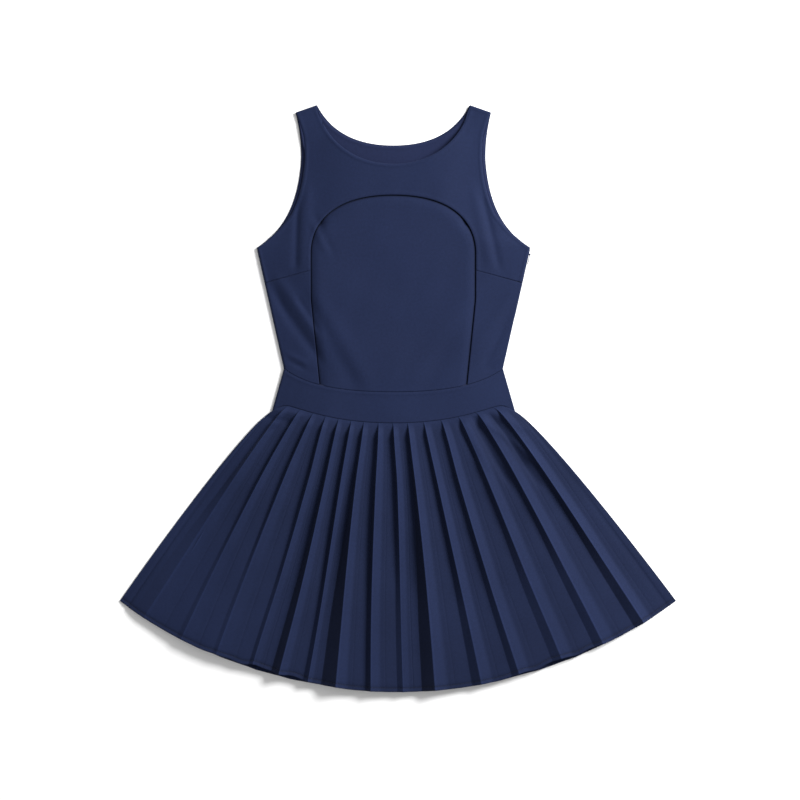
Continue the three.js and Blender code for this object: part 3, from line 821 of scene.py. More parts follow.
@dataclass(frozen=True)
class HardFinish:
    """Nylon or lacquered metal of the zip."""

    name: str
    slot: str
    colour: tuple[int, int, int]
    metallic: float
    roughness: float

    def material(self) -> bpy.types.Material:
        """The finish as a material, made once, with fine brushing and patchy tone."""
        known = bpy.data.materials.get(self.name)
        if known:
            return known
        material, wire, shader = new_material(self.name)
        place = wire.add("ShaderNodeTexCoord").outputs["Object"]
        grain = wire.noise(place, 900.0, 4.0, 0.6)
        patch = wire.noise(place, 160.0, 3.0, 0.5)
        tone_and_painted_light = wire.math("MULTIPLY_ADD", patch, 0.5, 0.75)
        base = wire.add("ShaderNodeRGB")
        base.outputs[0].default_value = linear(self.colour)
        wire.join(wire.shade(base.outputs[0], tone_and_painted_light), shader.inputs["Base Color"])
        wire.join(wire.math("MULTIPLY_ADD", grain, 0.2, self.roughness - 0.1), shader.inputs["Roughness"])
        wire.bump(grain, 0.15, 0.0001, shader)
        shader.inputs["Metallic"].default_value = self.metallic
        return material


Finish = ClothFinish | HardFinish

BODICE_CREPE = ClothFinish("bodice_crepe", "bodice_cloth", (21, 30, 57))
PLEATED_CREPE = ClothFinish("pleated_crepe", "pleated_cloth", (21, 30, 57))
FACING_CREPE = ClothFinish("facing_crepe", "facing_cloth", (25, 32, 59), roughness=0.88, sheen=0.12)
FUSED_FELT = ClothFinish("fused_felt", "interfacing", (30, 35, 55), threads=900, unevenness=0.9,
                         roughness=0.95)
TWILL_TAPE = ClothFinish("twill_tape", "woven_tape", (30, 38, 66), threads=1100, unevenness=0.7, relief=0.6)
LABEL_SATIN = ClothFinish("label_satin", "label_satin", (214, 214, 208), threads=2600, unevenness=0.2,
                          roughness=0.45, sheen=0.05)
COIL_NYLON = HardFinish("coil_nylon", "coil_nylon", (28, 36, 62), 0.0, 0.42)
ZIP_LACQUER = HardFinish("zip_lacquer", "zip_metal", (32, 41, 70), 0.7, 0.38)
SEWING_THREAD = HardFinish("sewing_thread", "pleated_cloth", (17, 24, 46), 0.0, 0.6)


def dress(piece: bpy.types.Object, finish: Finish, body: str, *nodes: str) -> bpy.types.Object:
    """Gives a piece its finish, its body and the CAD nodes it stands for, and reports it.

    Args:
        piece: the finished piece.
        finish: its finish.
        body: the CAD body it rides on.
        nodes: the CAD nodes it replaces.

    Returns:
        The piece.
    """
    piece.data.materials.clear()
    piece.data.materials.append(finish.material())
    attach(piece, body)
    if nodes:
        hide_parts(*nodes)
    log.info("%s: %s, stands for %s", piece.name, finish.name, ", ".join(nodes) or "itself")
    return piece


def lay_sheet(cloth: Cloth, name: str, finish: ClothFinish, node: str, thickness: float = 0.6) -> bpy.types.Object:
    """Makes a sheet of cloth and dresses it.

    Args:
        cloth: its places and heights.
        name: the piece's name.
        finish: its finish.
        node: the CAD node it stands for.
        thickness: in millimetres.

    Returns:
        The piece.
    """
    piece = dress(cloth.make(name, thickness), finish, "garment", node)
    return piece


# ---------------------------------------------------------------- the bodice


@dataclass
class Bodice:
    """The bodice's outer cloth: arched panel, yoke, side fronts and three back panels."""

    cloth: float = PATTERN.cloth

    def build(self) -> None:
        """Builds and dresses every outer panel."""
        self.centre_front()
        self.yoke()
        for sign, side in ((1, "left"), (-1, "right")):
            self.side_front(sign, side)
            self.side_back(sign, side)
        self.centre_back()

    def centre_front(self) -> None:
        """The arched inset panel."""
        arch = PATTERN.arch()
        marks = np.concatenate([[0], np.cumsum(np.linalg.norm(np.diff(arch, axis=0), axis=1))])
        shoulder = 0.335
        left = along(arch, np.linspace(0, shoulder, 60))
        top = along(arch, np.linspace(shoulder, 1 - shoulder, 80))
        right = along(arch, np.linspace(1, 1 - shoulder, 60))
        seam = half_turned(PATTERN.waist_seam())
        bottom = seam[np.abs(seam[:, 0]) < PATTERN.arch_foot]
        bottom = np.vstack([left[:1], bottom, right[:1]])
        log.info("arched seam: %.0f mm long", marks[-1])
        ends = (Edge.SEAM, Edge.SUNK, Edge.SUNK, Edge.SUNK)
        panel = Panel(bottom, top, left, right, ends, LIE.front, self.cloth, 120, 130)
        lay_sheet(panel.cloth(), "centre_front_cloth", BODICE_CREPE, "centre_front_panel")

    def yoke(self) -> None:
        """The upper front with both straps, round the arch."""
        arch = PATTERN.arch()
        dart = PATTERN.dart_line()
        over = arch[arch[:, 1] >= PATTERN.dart]
        inner_half = over[over[:, 0] >= 0][::-1]
        inner_half = np.vstack([[dart[0]], inner_half])
        side = np.array([dart[1], PATTERN.underarm])
        shoulder = np.array([PATTERN.shoulder_tip, PATTERN.neck_point])
        parts = [(side, 0.10, 24), (PATTERN.armhole(Face.FRONT), 0.52, 100), (shoulder, 0.64, 24),
                 (PATTERN.neckline(Face.FRONT), 1.0, 91)]
        halves = match_up(parts, inner_half)
        inner, outer = (np.vstack([half, half[-2::-1] * [-1, 1]]) for half in halves)
        ends = (Edge.FOLD, Edge.FACED, Edge.SEAM, Edge.SEAM)
        cloth = ribbon(inner, outer, ends, LIE.front, self.cloth, 460, 46)
        lay_sheet(cloth, "yoke_cloth", BODICE_CREPE, "front_yoke")

    def side_front(self, sign: int, side: str) -> None:
        """The panel between the arch, the dart seam, the side seam and the waistband."""
        arch = PATTERN.arch()
        lower = arch[(arch[:, 0] > 0) & (arch[:, 1] <= PATTERN.dart)][::-1]
        dart = PATTERN.dart_line()
        inner = np.vstack([lower, dart[:1]])
        seam = PATTERN.waist_seam()
        seam = np.vstack([inner[:1], seam[seam[:, 0] > PATTERN.arch_foot]])
        outer = np.array([seam[-1], dart[1]])
        lines, (left, right) = self.on_side(sign, seam, dart, inner, outer), (Edge.SEAM, Edge.OPEN)[::sign]
        panel = Panel(*lines, (Edge.SEAM, Edge.SEAM, left, right), LIE.front, self.cloth, 60, 90)
        lay_sheet(panel.cloth(), f"side_front_{side}_cloth", BODICE_CREPE, f"side_front_panel_{side}")

    def on_side(self, sign: int, bottom: Points, top: Points, inner: Points, outer: Points) -> list[Points]:
        """Puts one side's edges in a panel's order.

        Args:
            sign: 1 for the wearer's left, -1 for the right.
            bottom: its lower edge on the left side.
            top: its upper edge.
            inner: its edge towards the middle.
            outer: its edge away from the middle.

        Returns:
            Its bottom, top, left and right edges.
        """
        bottom, top, inner, outer = (line * [sign, 1] for line in (bottom, top, inner, outer))
        return [bottom, top, inner, outer] if sign > 0 else [bottom[::-1], top[::-1], outer, inner]

    def cut(self, edge: float) -> tuple[Points, float, Points, float]:
        """Where an upright back seam meets the neckline and the waist seam.

        Args:
            edge: how far the seam stands from the middle line.

        Returns:
            The neckline, its height there, the waist seam and its height there.
        """
        neck, seam = PATTERN.neckline(Face.BACK), PATTERN.waist_seam()
        high = float(np.interp(edge, neck[::-1, 0], neck[::-1, 1]))
        return neck, high, seam, float(np.interp(edge, seam[:, 0], seam[:, 1]))

    def centre_back(self) -> None:
        """The middle of the back, up to the back neckline."""
        edge = PATTERN.back_seam
        neck, high, seam, low = self.cut(edge)
        right = neck[neck[:, 0] < edge]
        top = np.vstack([[(-edge, high)], right[:-1] * [-1, 1], right[::-1], [(edge, high)]])
        half = seam[seam[:, 0] < edge]
        bottom = np.vstack([[(-edge, low)], half[:0:-1] * [-1, 1], half, [(edge, low)]])
        panel = Panel(bottom, top, np.array([bottom[0], top[0]]), np.array([bottom[-1], top[-1]]),
                      (Edge.SEAM, Edge.OPEN, Edge.OPEN, Edge.OPEN), LIE.back, self.cloth, 80, 120)
        lay_sheet(panel.cloth(), "centre_back_cloth", BODICE_CREPE, "back_centre_panel")

    def side_back(self, sign: int, side: str) -> None:
        """A side of the back, from its panel seam out to the side seam and armhole."""
        edge = PATTERN.back_seam + 0.3
        neck, high, seam, low = self.cut(edge)
        bottom = np.vstack([[(edge, low)], seam[seam[:, 0] > edge]])
        top = np.vstack([[(edge, high)], neck[neck[:, 0] > edge][::-1], [PATTERN.shoulder_tip]])
        right = np.vstack([bottom[-1:], PATTERN.armhole()])
        lines = self.on_side(sign, bottom, top, np.array([bottom[0], top[0]]), right)
        panel = Panel(*lines, (Edge.SEAM, Edge.OPEN, Edge.OPEN, Edge.OPEN), LIE.back, self.cloth, 60, 150)
        lay_sheet(panel.cloth(), f"side_back_{side}_cloth", BODICE_CREPE, f"back_side_panel_{side}")


@dataclass
class Facings:
    """The all-in-one neck and armhole facings."""

    front_depth: float = 46.0
    back_depth: float = 50.0
    side_height: float = 142.0
    understitch: float = 6.0
    inset: float = 1.2
    side_room: float = 6.0
    zip_room: float = 17.0

    def build(self) -> None:
        """Builds and dresses both facings and the row that holds the back one down."""
        lower = PATTERN.layer
        arch = PATTERN.arch()
        sag = ROLLS[Edge.SUNK].sink + ROLLS[Edge.SUNK].drop + 0.6

        def front_level(x: np.ndarray, y: np.ndarray) -> np.ndarray:
            """Height of the front facing's underside, pressed down under the arched seam."""
            return LIE.front(x, y) - lower - sag * np.exp(-((distance_to(arch, x, y) / 14) ** 2))

        front = self.cloth(Face.FRONT, self.front_depth, front_level, PATTERN.cloth)
        lay_sheet(front, "front_facing_cloth", FACING_CREPE, "front_facing")
        back = self.cloth(Face.BACK, self.back_depth, lambda x, y: 0 * x + lower, PATTERN.cloth)
        lay_sheet(back, "back_facing_cloth", FACING_CREPE, "back_facing")
        neck = PATTERN.neckline(Face.BACK)[2:]
        neck = np.vstack([neck * [-1, 1], neck[-2::-1]]) - [0, self.understitch]
        level = np.full((len(neck), 1), lower + PATTERN.cloth + 0.08)
        stitch_row("neck_understitches", np.hstack([neck, level]), 2.6)

    def cloth(self, face: Face, depth: float, height: Height, lift: float) -> Cloth:
        """One facing, from its lower edge up to the armholes, shoulders and neck.

        Args:
            face: front or back.
            depth: at the middle of the neck.
            height: underside of the cloth.
            lift: how far its surface lies above that.

        Returns:
            The cloth.
        """
        neck = PATTERN.neckline(face)
        lowest, (point_x, point_y) = neck[-1, 1] - depth, PATTERN.neck_point
        inner_neck = np.stack([neck[:, 0] * (1 + self.inset / point_x), neck[:, 1] - self.inset], axis=1)
        halves = []
        for sign, room in ((1, self.zip_room), (-1, self.side_room)):
            side = (float(PATTERN.half_width(self.side_height)) - room, self.side_height)
            lower = bezier([side, (side[0] * 0.7, side[1] + 3), (side[0] * 0.45, lowest), (0, lowest)], 60)
            hole = PATTERN.armhole(face)
            pull = mix(room, self.inset, ease(hole[:, 1], 180, 214))
            hole = np.stack([hole[:, 0] - pull, hole[:, 1]], axis=1)
            shoulder = np.array([hole[-1], (point_x + self.inset, point_y - self.inset)])
            parts = [(np.array([lower[0], hole[0]]), 0.06, 20), (hole, 0.46, 90), (shoulder, 0.58, 20),
                     (inner_neck, 1.0, 90)]
            halves.append([line * [sign, 1] for line in match_up(parts, lower)])
        inner, outer = (np.vstack([left, right[-2::-1]]) for left, right in zip(*halves))
        ends = (Edge.OPEN, Edge.FACED, Edge.OPEN, Edge.OPEN)
        return ribbon(inner, outer, ends, height, lift, 360, 30)


# ---------------------------------------------------------------- the waistband


@dataclass
class Waistband:
    """The curved band: outer cloth, interfacing and facing, front and back."""

    interfacing: float = 0.2
    gap: float = 0.3
    seam_gap: float = 0.2
    inset: float = 6.0
    under: float = 1.1
    zip_room: float = 17.0

    def build(self) -> None:
        """Builds and dresses the band's six layers."""
        step = self.interfacing + self.gap
        inner = step + PATTERN.layer
        layers = [
            ("waistband_front", "band_front_cloth", BODICE_CREPE,
             LIE.front, PATTERN.cloth, False, "waistband_back"),
            ("waistband_interfacing_front", "band_front_interfacing", FUSED_FELT,
             lambda x, y: LIE.front(x, y) - step, self.interfacing, True, "waistband_facing_front"),
            ("waistband_facing_front", "band_front_facing", FACING_CREPE,
             lambda x, y: LIE.front(x, y) - inner, PATTERN.cloth, True, "waistband_facing_back"),
            ("waistband_back", "band_back_cloth", BODICE_CREPE,
             LIE.back, PATTERN.cloth, False, "back_centre_panel"),
            ("waistband_interfacing_back", "band_back_interfacing", FUSED_FELT,
             lambda x, y: 0 * x + PATTERN.layer, self.interfacing, True, "waistband_back"),
            ("waistband_facing_back", "band_back_facing", FACING_CREPE,
             lambda x, y: 0 * x + PATTERN.layer + step, PATTERN.cloth, True, "waistband_interfacing_back"),
        ]
        for node, name, finish, height, lift, inside, rests_on in layers:
            thickness = min(0.6, lift)
            lay_sheet(self.cloth(height, lift, inside), name, finish, node, thickness)

    def cloth(self, height: Height, lift: float, inside: bool) -> Cloth:
        """One layer of the band.

        Args:
            height: underside of the cloth.
            lift: how far its surface lies above that.
            inside: whether it is an inner layer, which stops short of the side seam and the zip.

        Returns:
            The cloth.
        """
        top = half_turned(PATTERN.waist_seam()) - [0, self.seam_gap]
        bottom = PATTERN.skirt_seam() + [0, self.seam_gap]
        if inside:
            top, bottom = self.stop_short(top) + [0, self.under], self.stop_short(bottom) - [0, self.under]
        ends = (Edge.OPEN,) * 4 if inside else (Edge.SEAM, Edge.WAIST, Edge.OPEN, Edge.OPEN)
        left_line, right_line = np.array([bottom[0], top[0]]), np.array([bottom[-1], top[-1]])
        columns, rows = (120, 16) if inside else (220, 44)
        return Panel(bottom, top, left_line, right_line, ends, height, lift, columns, rows).cloth()

    def stop_short(self, line: Points) -> Points:
        """A line without the ends that lie in the right side seam and under the zip."""
        x = line[:, 0]
        return line[(x > x[0] + self.inset) & (x < x[-1] - self.zip_room)]


# ---------------------------------------------------------------- the pleated skirt


@dataclass(frozen=True)
class PleatRun:
    """Neighbouring pleats that lie alike.

    Args:
        seam: first and last fold's place on the seam, as a share of the half width.
        hem: the same on the hem.
        early: fold height just below the seam, in millimetres.
        late: each fold's height at the hem.
        valley: where the valley beyond each fold lies at the hem, as a share of the pitch.
        shoulder: height left where the lit strip beside the fold ends, as a share.
    """

    seam: tuple[float, float]
    hem: tuple[float, float]
    early: float
    late: tuple[float, ...]
    valley: tuple[float, ...]
    shoulder: float

    def folds(self) -> list[tuple[float, ...]]:
        """Each fold's places on the seam and hem, its heights, shoulder and valley."""
        count = len(self.late)
        places = zip(np.linspace(*self.seam, count), np.linspace(*self.hem, count), self.late, self.valley)
        return [(s, h, self.early, late, self.shoulder, valley) for s, h, late, valley in places]


FRONT_RUNS = (
    PleatRun((-0.855, -0.550), (-0.910, -0.520), 6.5, (0.9, 1.2, 1.4, 3.0), (0.88, 0.90, 0.88, 0.72), 0.3),
    PleatRun((-0.445, -0.240), (-0.420, -0.232), 7.0, (9.5, 5.5, 12.0), (0.84, 0.45, 0.86), 0.3),
    PleatRun((-0.120, 0.120), (-0.098, 0.142), 7.5, (7.0, 3.5, 11.0), (0.82, 0.62, 0.80), 0.3),
    PleatRun((0.250, 0.820), (0.287, 0.882), 5.5, (6.0, 5.4, 5.0, 5.6, 7.4), (0.82, 0.80, 0.80, 0.78, 0.8),
             0.15),
)
BACK_RUNS = (PleatRun((-0.87, 0.87), (-0.89, 0.89), 1.0, (4.6,) * 15, (0.75,) * 15, 0.3),)


# Puckers under the band, most of them by the zip: height, from, to, width.
PUCKERS = (
    (2.6, (142, -84), (200, -128), 6), (-2.8, (126, -84), (168, -162), 6),
    (-2.2, (172, -108), (212, -166), 5), (1.8, (114, -88), (140, -142), 6),
    (1.6, (160, -72), (190, -88), 5), (-1.8, (150, -78), (186, -122), 3.5),
    (1.3, (132, -96), (160, -140), 3.5), (-1.4, (100, -88), (122, -130), 4),
    (1.2, (176, -92), (206, -132), 4), (-1.8, (-188, -74), (-158, -80), 4),
    (1.4, (-178, -62), (-140, -70), 4), (-1.2, (-180, -92), (-160, -84), 4),
)


@dataclass
class Skirt:
    """The knife-pleated fan skirt, front and back.

    Args:
        rows: how many rows of corners run across it.
        closed: height of its valleys where it lies closed.
        strip: where the lit strip beside a fold ends, as a share of the way to the valley.
        hem_crown: height of its valleys at the hem.
        hem_turn: depth of the stitched hem.
        corner_lift: how far its right corner stands up.
        shade: how much painted shade darkens the cloth beyond the lit strip.
        ghost: where a fold inside has pressed a line through, a ditch with painted shade, as a share of the way to
            the valley.
        falling: shares of the way from a fold to its valley that have corners.
        rising: shares of the way from the valley to the next fold that have corners.
    """

    rows: int = 84
    closed: float = 1.1
    strip: float = 0.36
    hem_crown: float = 12.0
    hem_turn: float = 6.0
    corner_lift: float = 4.0
    ghost: float = 0.56
    shade: float = 0.17
    falling: tuple[float, ...] = (0.0, 0.03, 0.08, 0.16, 0.24, 0.3, 0.36, 0.42, 0.49, 0.54, 0.56, 0.58, 0.63,
                                  0.73, 0.84, 0.93, 0.98)
    rising: tuple[float, ...] = (0.0, 0.05, 0.2, 0.45, 0.7, 0.9, 0.97)

    def build(self) -> None:
        """Builds and dresses both skirts and their hem stitches."""
        front = self.cloth(FRONT_RUNS, self.front_base, Face.FRONT)
        row = int(np.argmin(np.abs(front.grain[1][:, 0] + self.length() - self.hem_turn)))
        hem = np.stack([front.x[row], front.y[row], front.z[row] + 0.12], axis=1)
        stitch_row("hem_stitches", hem, 2.6)
        lay_sheet(front, "skirt_front_cloth", PLEATED_CREPE, "skirt_front", 0.55)
        back = self.cloth(BACK_RUNS, lambda s, h, v: 0 * v * s + 1.1, Face.BACK)
        lay_sheet(back, "skirt_back_cloth", PLEATED_CREPE, "skirt_back", 0.55)

    def length(self) -> float:
        """The skirt's length down its middle, in millimetres."""
        return PATTERN.hem_drop - PATTERN.waist_drop - PATTERN.band_depth

    def front_base(self, seam: np.ndarray, hem: np.ndarray, v: np.ndarray) -> np.ndarray:
        """Height that the front's valleys lie at."""
        x, y = PATTERN.skirt_point(seam, hem, 0 * v)
        at_seam = LIE.front(x, y) + PATTERN.cloth - 0.9 * (1 - ease(v, 0, 0.012))
        below = mix(self.closed, self.hem_crown, ease(1 - np.abs(hem), -0.04, 0.34))
        return mix(at_seam, below, ease(v, 0.15, 0.55))

    def cloth(self, runs: tuple[PleatRun, ...], base: Callable, face: Face) -> Cloth:
        """Folds the skirt's cloth.

        Args:
            runs: its pleats, from the wearer's right to left.
            base: height of the valleys at (seam share, hem share, v).
            face: front or back.

        Returns:
            The cloth.
        """
        stack = [fold for run in runs for fold in run.folds()]
        folds = np.array([(-1.0, -1.0, 0.0, 0.0, 0.6, 0.6), *stack, (1.0, 1.0, 0.0, 0.0, 0.6, 0.6)])
        length = self.length()
        stitch = 1 - self.hem_turn / length
        beside_stitches = stitch + np.array([-0.004, -0.0015, 0.0015, 0.004])
        v = np.concatenate([np.linspace(0, 1, self.rows) ** 1.25, [0.004, 0.012], beside_stitches, [0.997]])
        v = np.sort(v)[:, None]
        late = ease(v, 0.04, 0.62)
        early = ease(v, 0.0, 0.05) * (1 - ease(v, 0.15, 0.75))
        columns = []
        for k in range(len(folds) - 1):
            here, then = folds[k], folds[k + 1]
            rise_here, rise_then = (f[2] * early + f[3] * late + 0.35 * (f[2] > 0) for f in (here, then))
            valley = mix(0.93, here[5], ease(v, 0.0, 0.8))
            for q in self.falling:
                fall = np.interp(q, [0, self.strip, 1], [1, here[4], 0])
                ghost = (1.0 if here[3] < 4 else 0.6) * (abs(q - self.ghost) < 0.005)
                ghost_ditch_and_painted_shade = ghost * ease(v, 0.02, 0.2)
                past_strip = float(ease(q, self.strip - 0.13, self.strip + 0.1))
                shaded = self.shade * np.clip(rise_here / 5, 0.25, 1) * past_strip
                # Its last value is the colour factor: a painted highlight on the fold's edge, painted shade past
                # the lit strip and along the pressed-through line.
                columns.append((here, then, valley * q, rise_here * fall - 0.3 * ghost_ditch_and_painted_shade,
                                1.02 + 0.2 * (q < 0.04) - shaded - 0.12 * ghost_ditch_and_painted_shade))
            for r in self.rising:
                # Here the colour factor is painted shade on the side that rises to the next fold, deeper where
                # that fold stands taller.
                columns.append((here, then, valley + (1 - valley) * r, rise_then * r,
                                0.9 - np.clip((rise_then - 6) / 12, 0, 0.35)))
        columns.append((folds[-2], folds[-1], 0 * v + 1, 0 * v, 1.0))
        seam = np.hstack([mix(a[0], b[0], p) for a, b, p, _, _ in columns])
        hem = np.hstack([mix(a[1], b[1], p) for a, b, p, _, _ in columns])
        rise = np.hstack([h for _, _, _, h, _ in columns])
        tone_and_painted_light = np.hstack([c + 0 * v for _, _, _, _, c in columns])
        v_all = v + 0 * seam
        wander = 0.010 * ripple(hem * 9, v_all * 2.2, 3.0, 17) * ease(v_all, 0.0, 0.25)
        wander = wander * ease(1 - np.abs(hem), 0, 0.1)
        x, y = PATTERN.skirt_point(seam + wander, hem + wander, v_all)
        z = base(seam, hem, v_all) + rise
        if face is Face.FRONT:
            z, y = self.settle(x, y, z, seam, hem, v_all, rise)
        # A shallow ditch along the hem stitches, with painted shade in it.
        ditch = np.exp(-(((v_all - stitch) / 0.0030) ** 2))
        z = z - 0.45 * ditch
        tone_and_painted_light = tone_and_painted_light * (1 - 0.35 * ditch)
        steps = np.sqrt(np.diff(x, axis=1) ** 2 + np.diff(z, axis=1) ** 2 + np.diff(y, axis=1) ** 2)
        unrolled = np.hstack([np.zeros_like(v), np.cumsum(steps, axis=1)])
        middle = unrolled[:, unrolled.shape[1] // 2][:, None]
        return Cloth(x, y, z, (unrolled - middle, v_all * -length), tone_and_painted_light)

    def settle(self, x: np.ndarray, y: np.ndarray, z: np.ndarray, seam: np.ndarray, hem: np.ndarray,
               v: np.ndarray, rise: np.ndarray) -> tuple[np.ndarray, np.ndarray]:
        """Adds the front's puckers, its uneven fall and its lifted hem.

        Args:
            x: places across.
            y: places along.
            z: heights so far.
            seam: places on the seam, as shares of the half width; not used.
            hem: places on the hem, the same way.
            v: 0 at the seam, 1 at the hem.
            rise: how far the pleats stand up there.

        Returns:
            The new z and y.
        """
        swell = 0.5 * ripple(x, y, 130, 21) + 0.18 * ripple(x, y, 40, 5)
        z = z + swell * ease(v, 0.02, 0.3) * ease(1 - np.abs(hem), 0, 0.08)
        corner = ease(-hem, 0.3, 0.8) * ease(v, 0.55, 1.0) * ease(1 - np.abs(hem), -0.01, 0.06)
        z = z + self.corner_lift * corner
        pucker = sum(height * ridge(x, y, start, end, width) for height, start, end, width in PUCKERS)
        side_crease = 0.9 * np.exp(-(((np.abs(hem) - 0.972) / 0.005) ** 2)) * ease(v, 0, 0.1)
        z = z + pucker * ease(v, 0.0, 0.02) - side_crease
        lift = 6.2 * np.exp(-(((hem + 0.47) / 0.17) ** 2)) + 5.6 * np.exp(-(((hem - 0.57) / 0.16) ** 2))
        lift = lift * (1 + 0.3 * np.sin(hem * 47) + 0.12 * np.sin(hem * 83 + 1))
        scallop = 0.10 * rise
        y = y + (lift + scallop) * ease(v, 0.6, 1.0)
        return z, y


# ---------------------------------------------------------------- small solid pieces


@dataclass
class Solid:
    """A piece made of rounded blocks and rods, in millimetres in its own frame.

    Args:
        name: the piece's name.
        place: carries a millimetre point of its frame into the uniform's frame.
    """

    name: str
    place: Callable[[Points], Points]
    bm: bmesh.types.BMesh = field(default_factory=bmesh.new)

    def keep(self, part: bmesh.types.BMesh) -> None:
        """Adds a finished part."""
        bmesh.ops.recalc_face_normals(part, faces=part.faces[:])
        mesh = bpy.data.meshes.new("part")
        part.to_mesh(mesh)
        part.free()
        self.bm.from_mesh(mesh)
        bpy.data.meshes.remove(mesh)

    def block(self, low: tuple[float, ...], high: tuple[float, ...], soften: float = 0.12,
              corner: float = 0.0, upright: int = 2) -> None:
        """Adds a block with softened edges.

        Args:
            low: its lowest corner.
            high: its highest corner.
            soften: radius of its edges.
            corner: radius of the four edges along one direction.
            upright: that direction, 0 to 2.
        """
        part = bmesh.new()
        bmesh.ops.create_cube(part, size=1)
        size, middle = Vector(high) - Vector(low), (Vector(high) + Vector(low)) / 2
        for vert in part.verts:
            vert.co = Vector(a * b for a, b in zip(vert.co, size)) + middle
        if corner:
            runs = [(e, (e.verts[0].co - e.verts[1].co).normalized()) for e in part.edges]
            self.round_off(part, [e for e, run in runs if abs(run[upright]) > 0.9], corner, 8)
        self.round_off(part, [e for e in part.edges if e.calc_face_angle(0) > 0.7], soften, 3)
        self.keep(part)

    def round_off(self, part: bmesh.types.BMesh, edges: list[bmesh.types.BMEdge], radius: float,
                  steps: int) -> None:
        """Rounds off edges of a part.

        Args:
            part: the part.
            edges: which of its edges.
            radius: how far the rounding reaches.
            steps: how many facets it has.
        """
        bmesh.ops.bevel(part, geom=edges, offset=radius, segments=steps, profile=0.5, affect="EDGES",
                        material=-1)

    def ring(self, middle: tuple[float, ...], radius: float, hole: float, low: float, high: float) -> None:
        """Adds an upright ring, or a pin if its hole is 0.

        Args:
            middle: where its axis stands.
            radius: of its outside.
            hole: radius of its hole.
            low: height of its underside.
            high: height of its top.
        """
        part = bmesh.new()
        profile = [(hole, low), (radius, low), (radius, high), (hole, high)]
        verts = [part.verts.new((r, 0, z)) for r, z in profile]
        edges = [part.edges.new((verts[k], verts[(k + 1) % 4])) for k in range(4)]
        bmesh.ops.spin(part, geom=verts + edges, cent=(0, 0, 0), axis=(0, 0, 1), angle=2 * math.pi, steps=32)
        bmesh.ops.remove_doubles(part, verts=part.verts[:], dist=1e-4)
        self.round_off(part, [e for e in part.edges if e.calc_face_angle(0) > 0.7], 0.08, 2)
        bmesh.ops.translate(part, verts=part.verts[:], vec=middle)
        self.keep(part)

    def make(self) -> bpy.types.Object:
        """Puts the piece in its place as an object at the origin."""
        mesh = bpy.data.meshes.new(self.name)
        self.bm.to_mesh(mesh)
        self.bm.free()
        set_corners(mesh, self.place(get_corners(mesh)))
        return stand(self.name, mesh)


def stitch_row(name: str, line: Points, pitch: float) -> bpy.types.Object:
    """A row of lockstitches along a line.

    Args:
        name: the piece's name.
        line: points with heights, one a row, in millimetres.
        pitch: from one stitch to the next.

    Returns:
        The piece.
    """
    steps = np.linalg.norm(np.diff(line, axis=0), axis=1)
    count = int(steps.sum() / pitch)
    starts = along(line, np.arange(count) / count)
    ends = along(line, (np.arange(count) + 0.72) / count)
    row = Solid(name, lambda points: points)
    for a, b in zip(starts, ends):
        direction = Vector(b - a)
        turn = direction.to_track_quat("X", "Z").to_matrix().to_4x4()
        size = Matrix.Diagonal((direction.length / 2, 0.22, 0.13, 1))
        part = bmesh.new()
        matrix = Matrix.Translation(Vector((a + b) / 2)) @ turn @ size
        bmesh.ops.create_icosphere(part, subdivisions=1, radius=1, matrix=matrix)
        row.keep(part)
    return dress(row.make(), SEWING_THREAD, "garment")


# ---------------------------------------------------------------- the zip


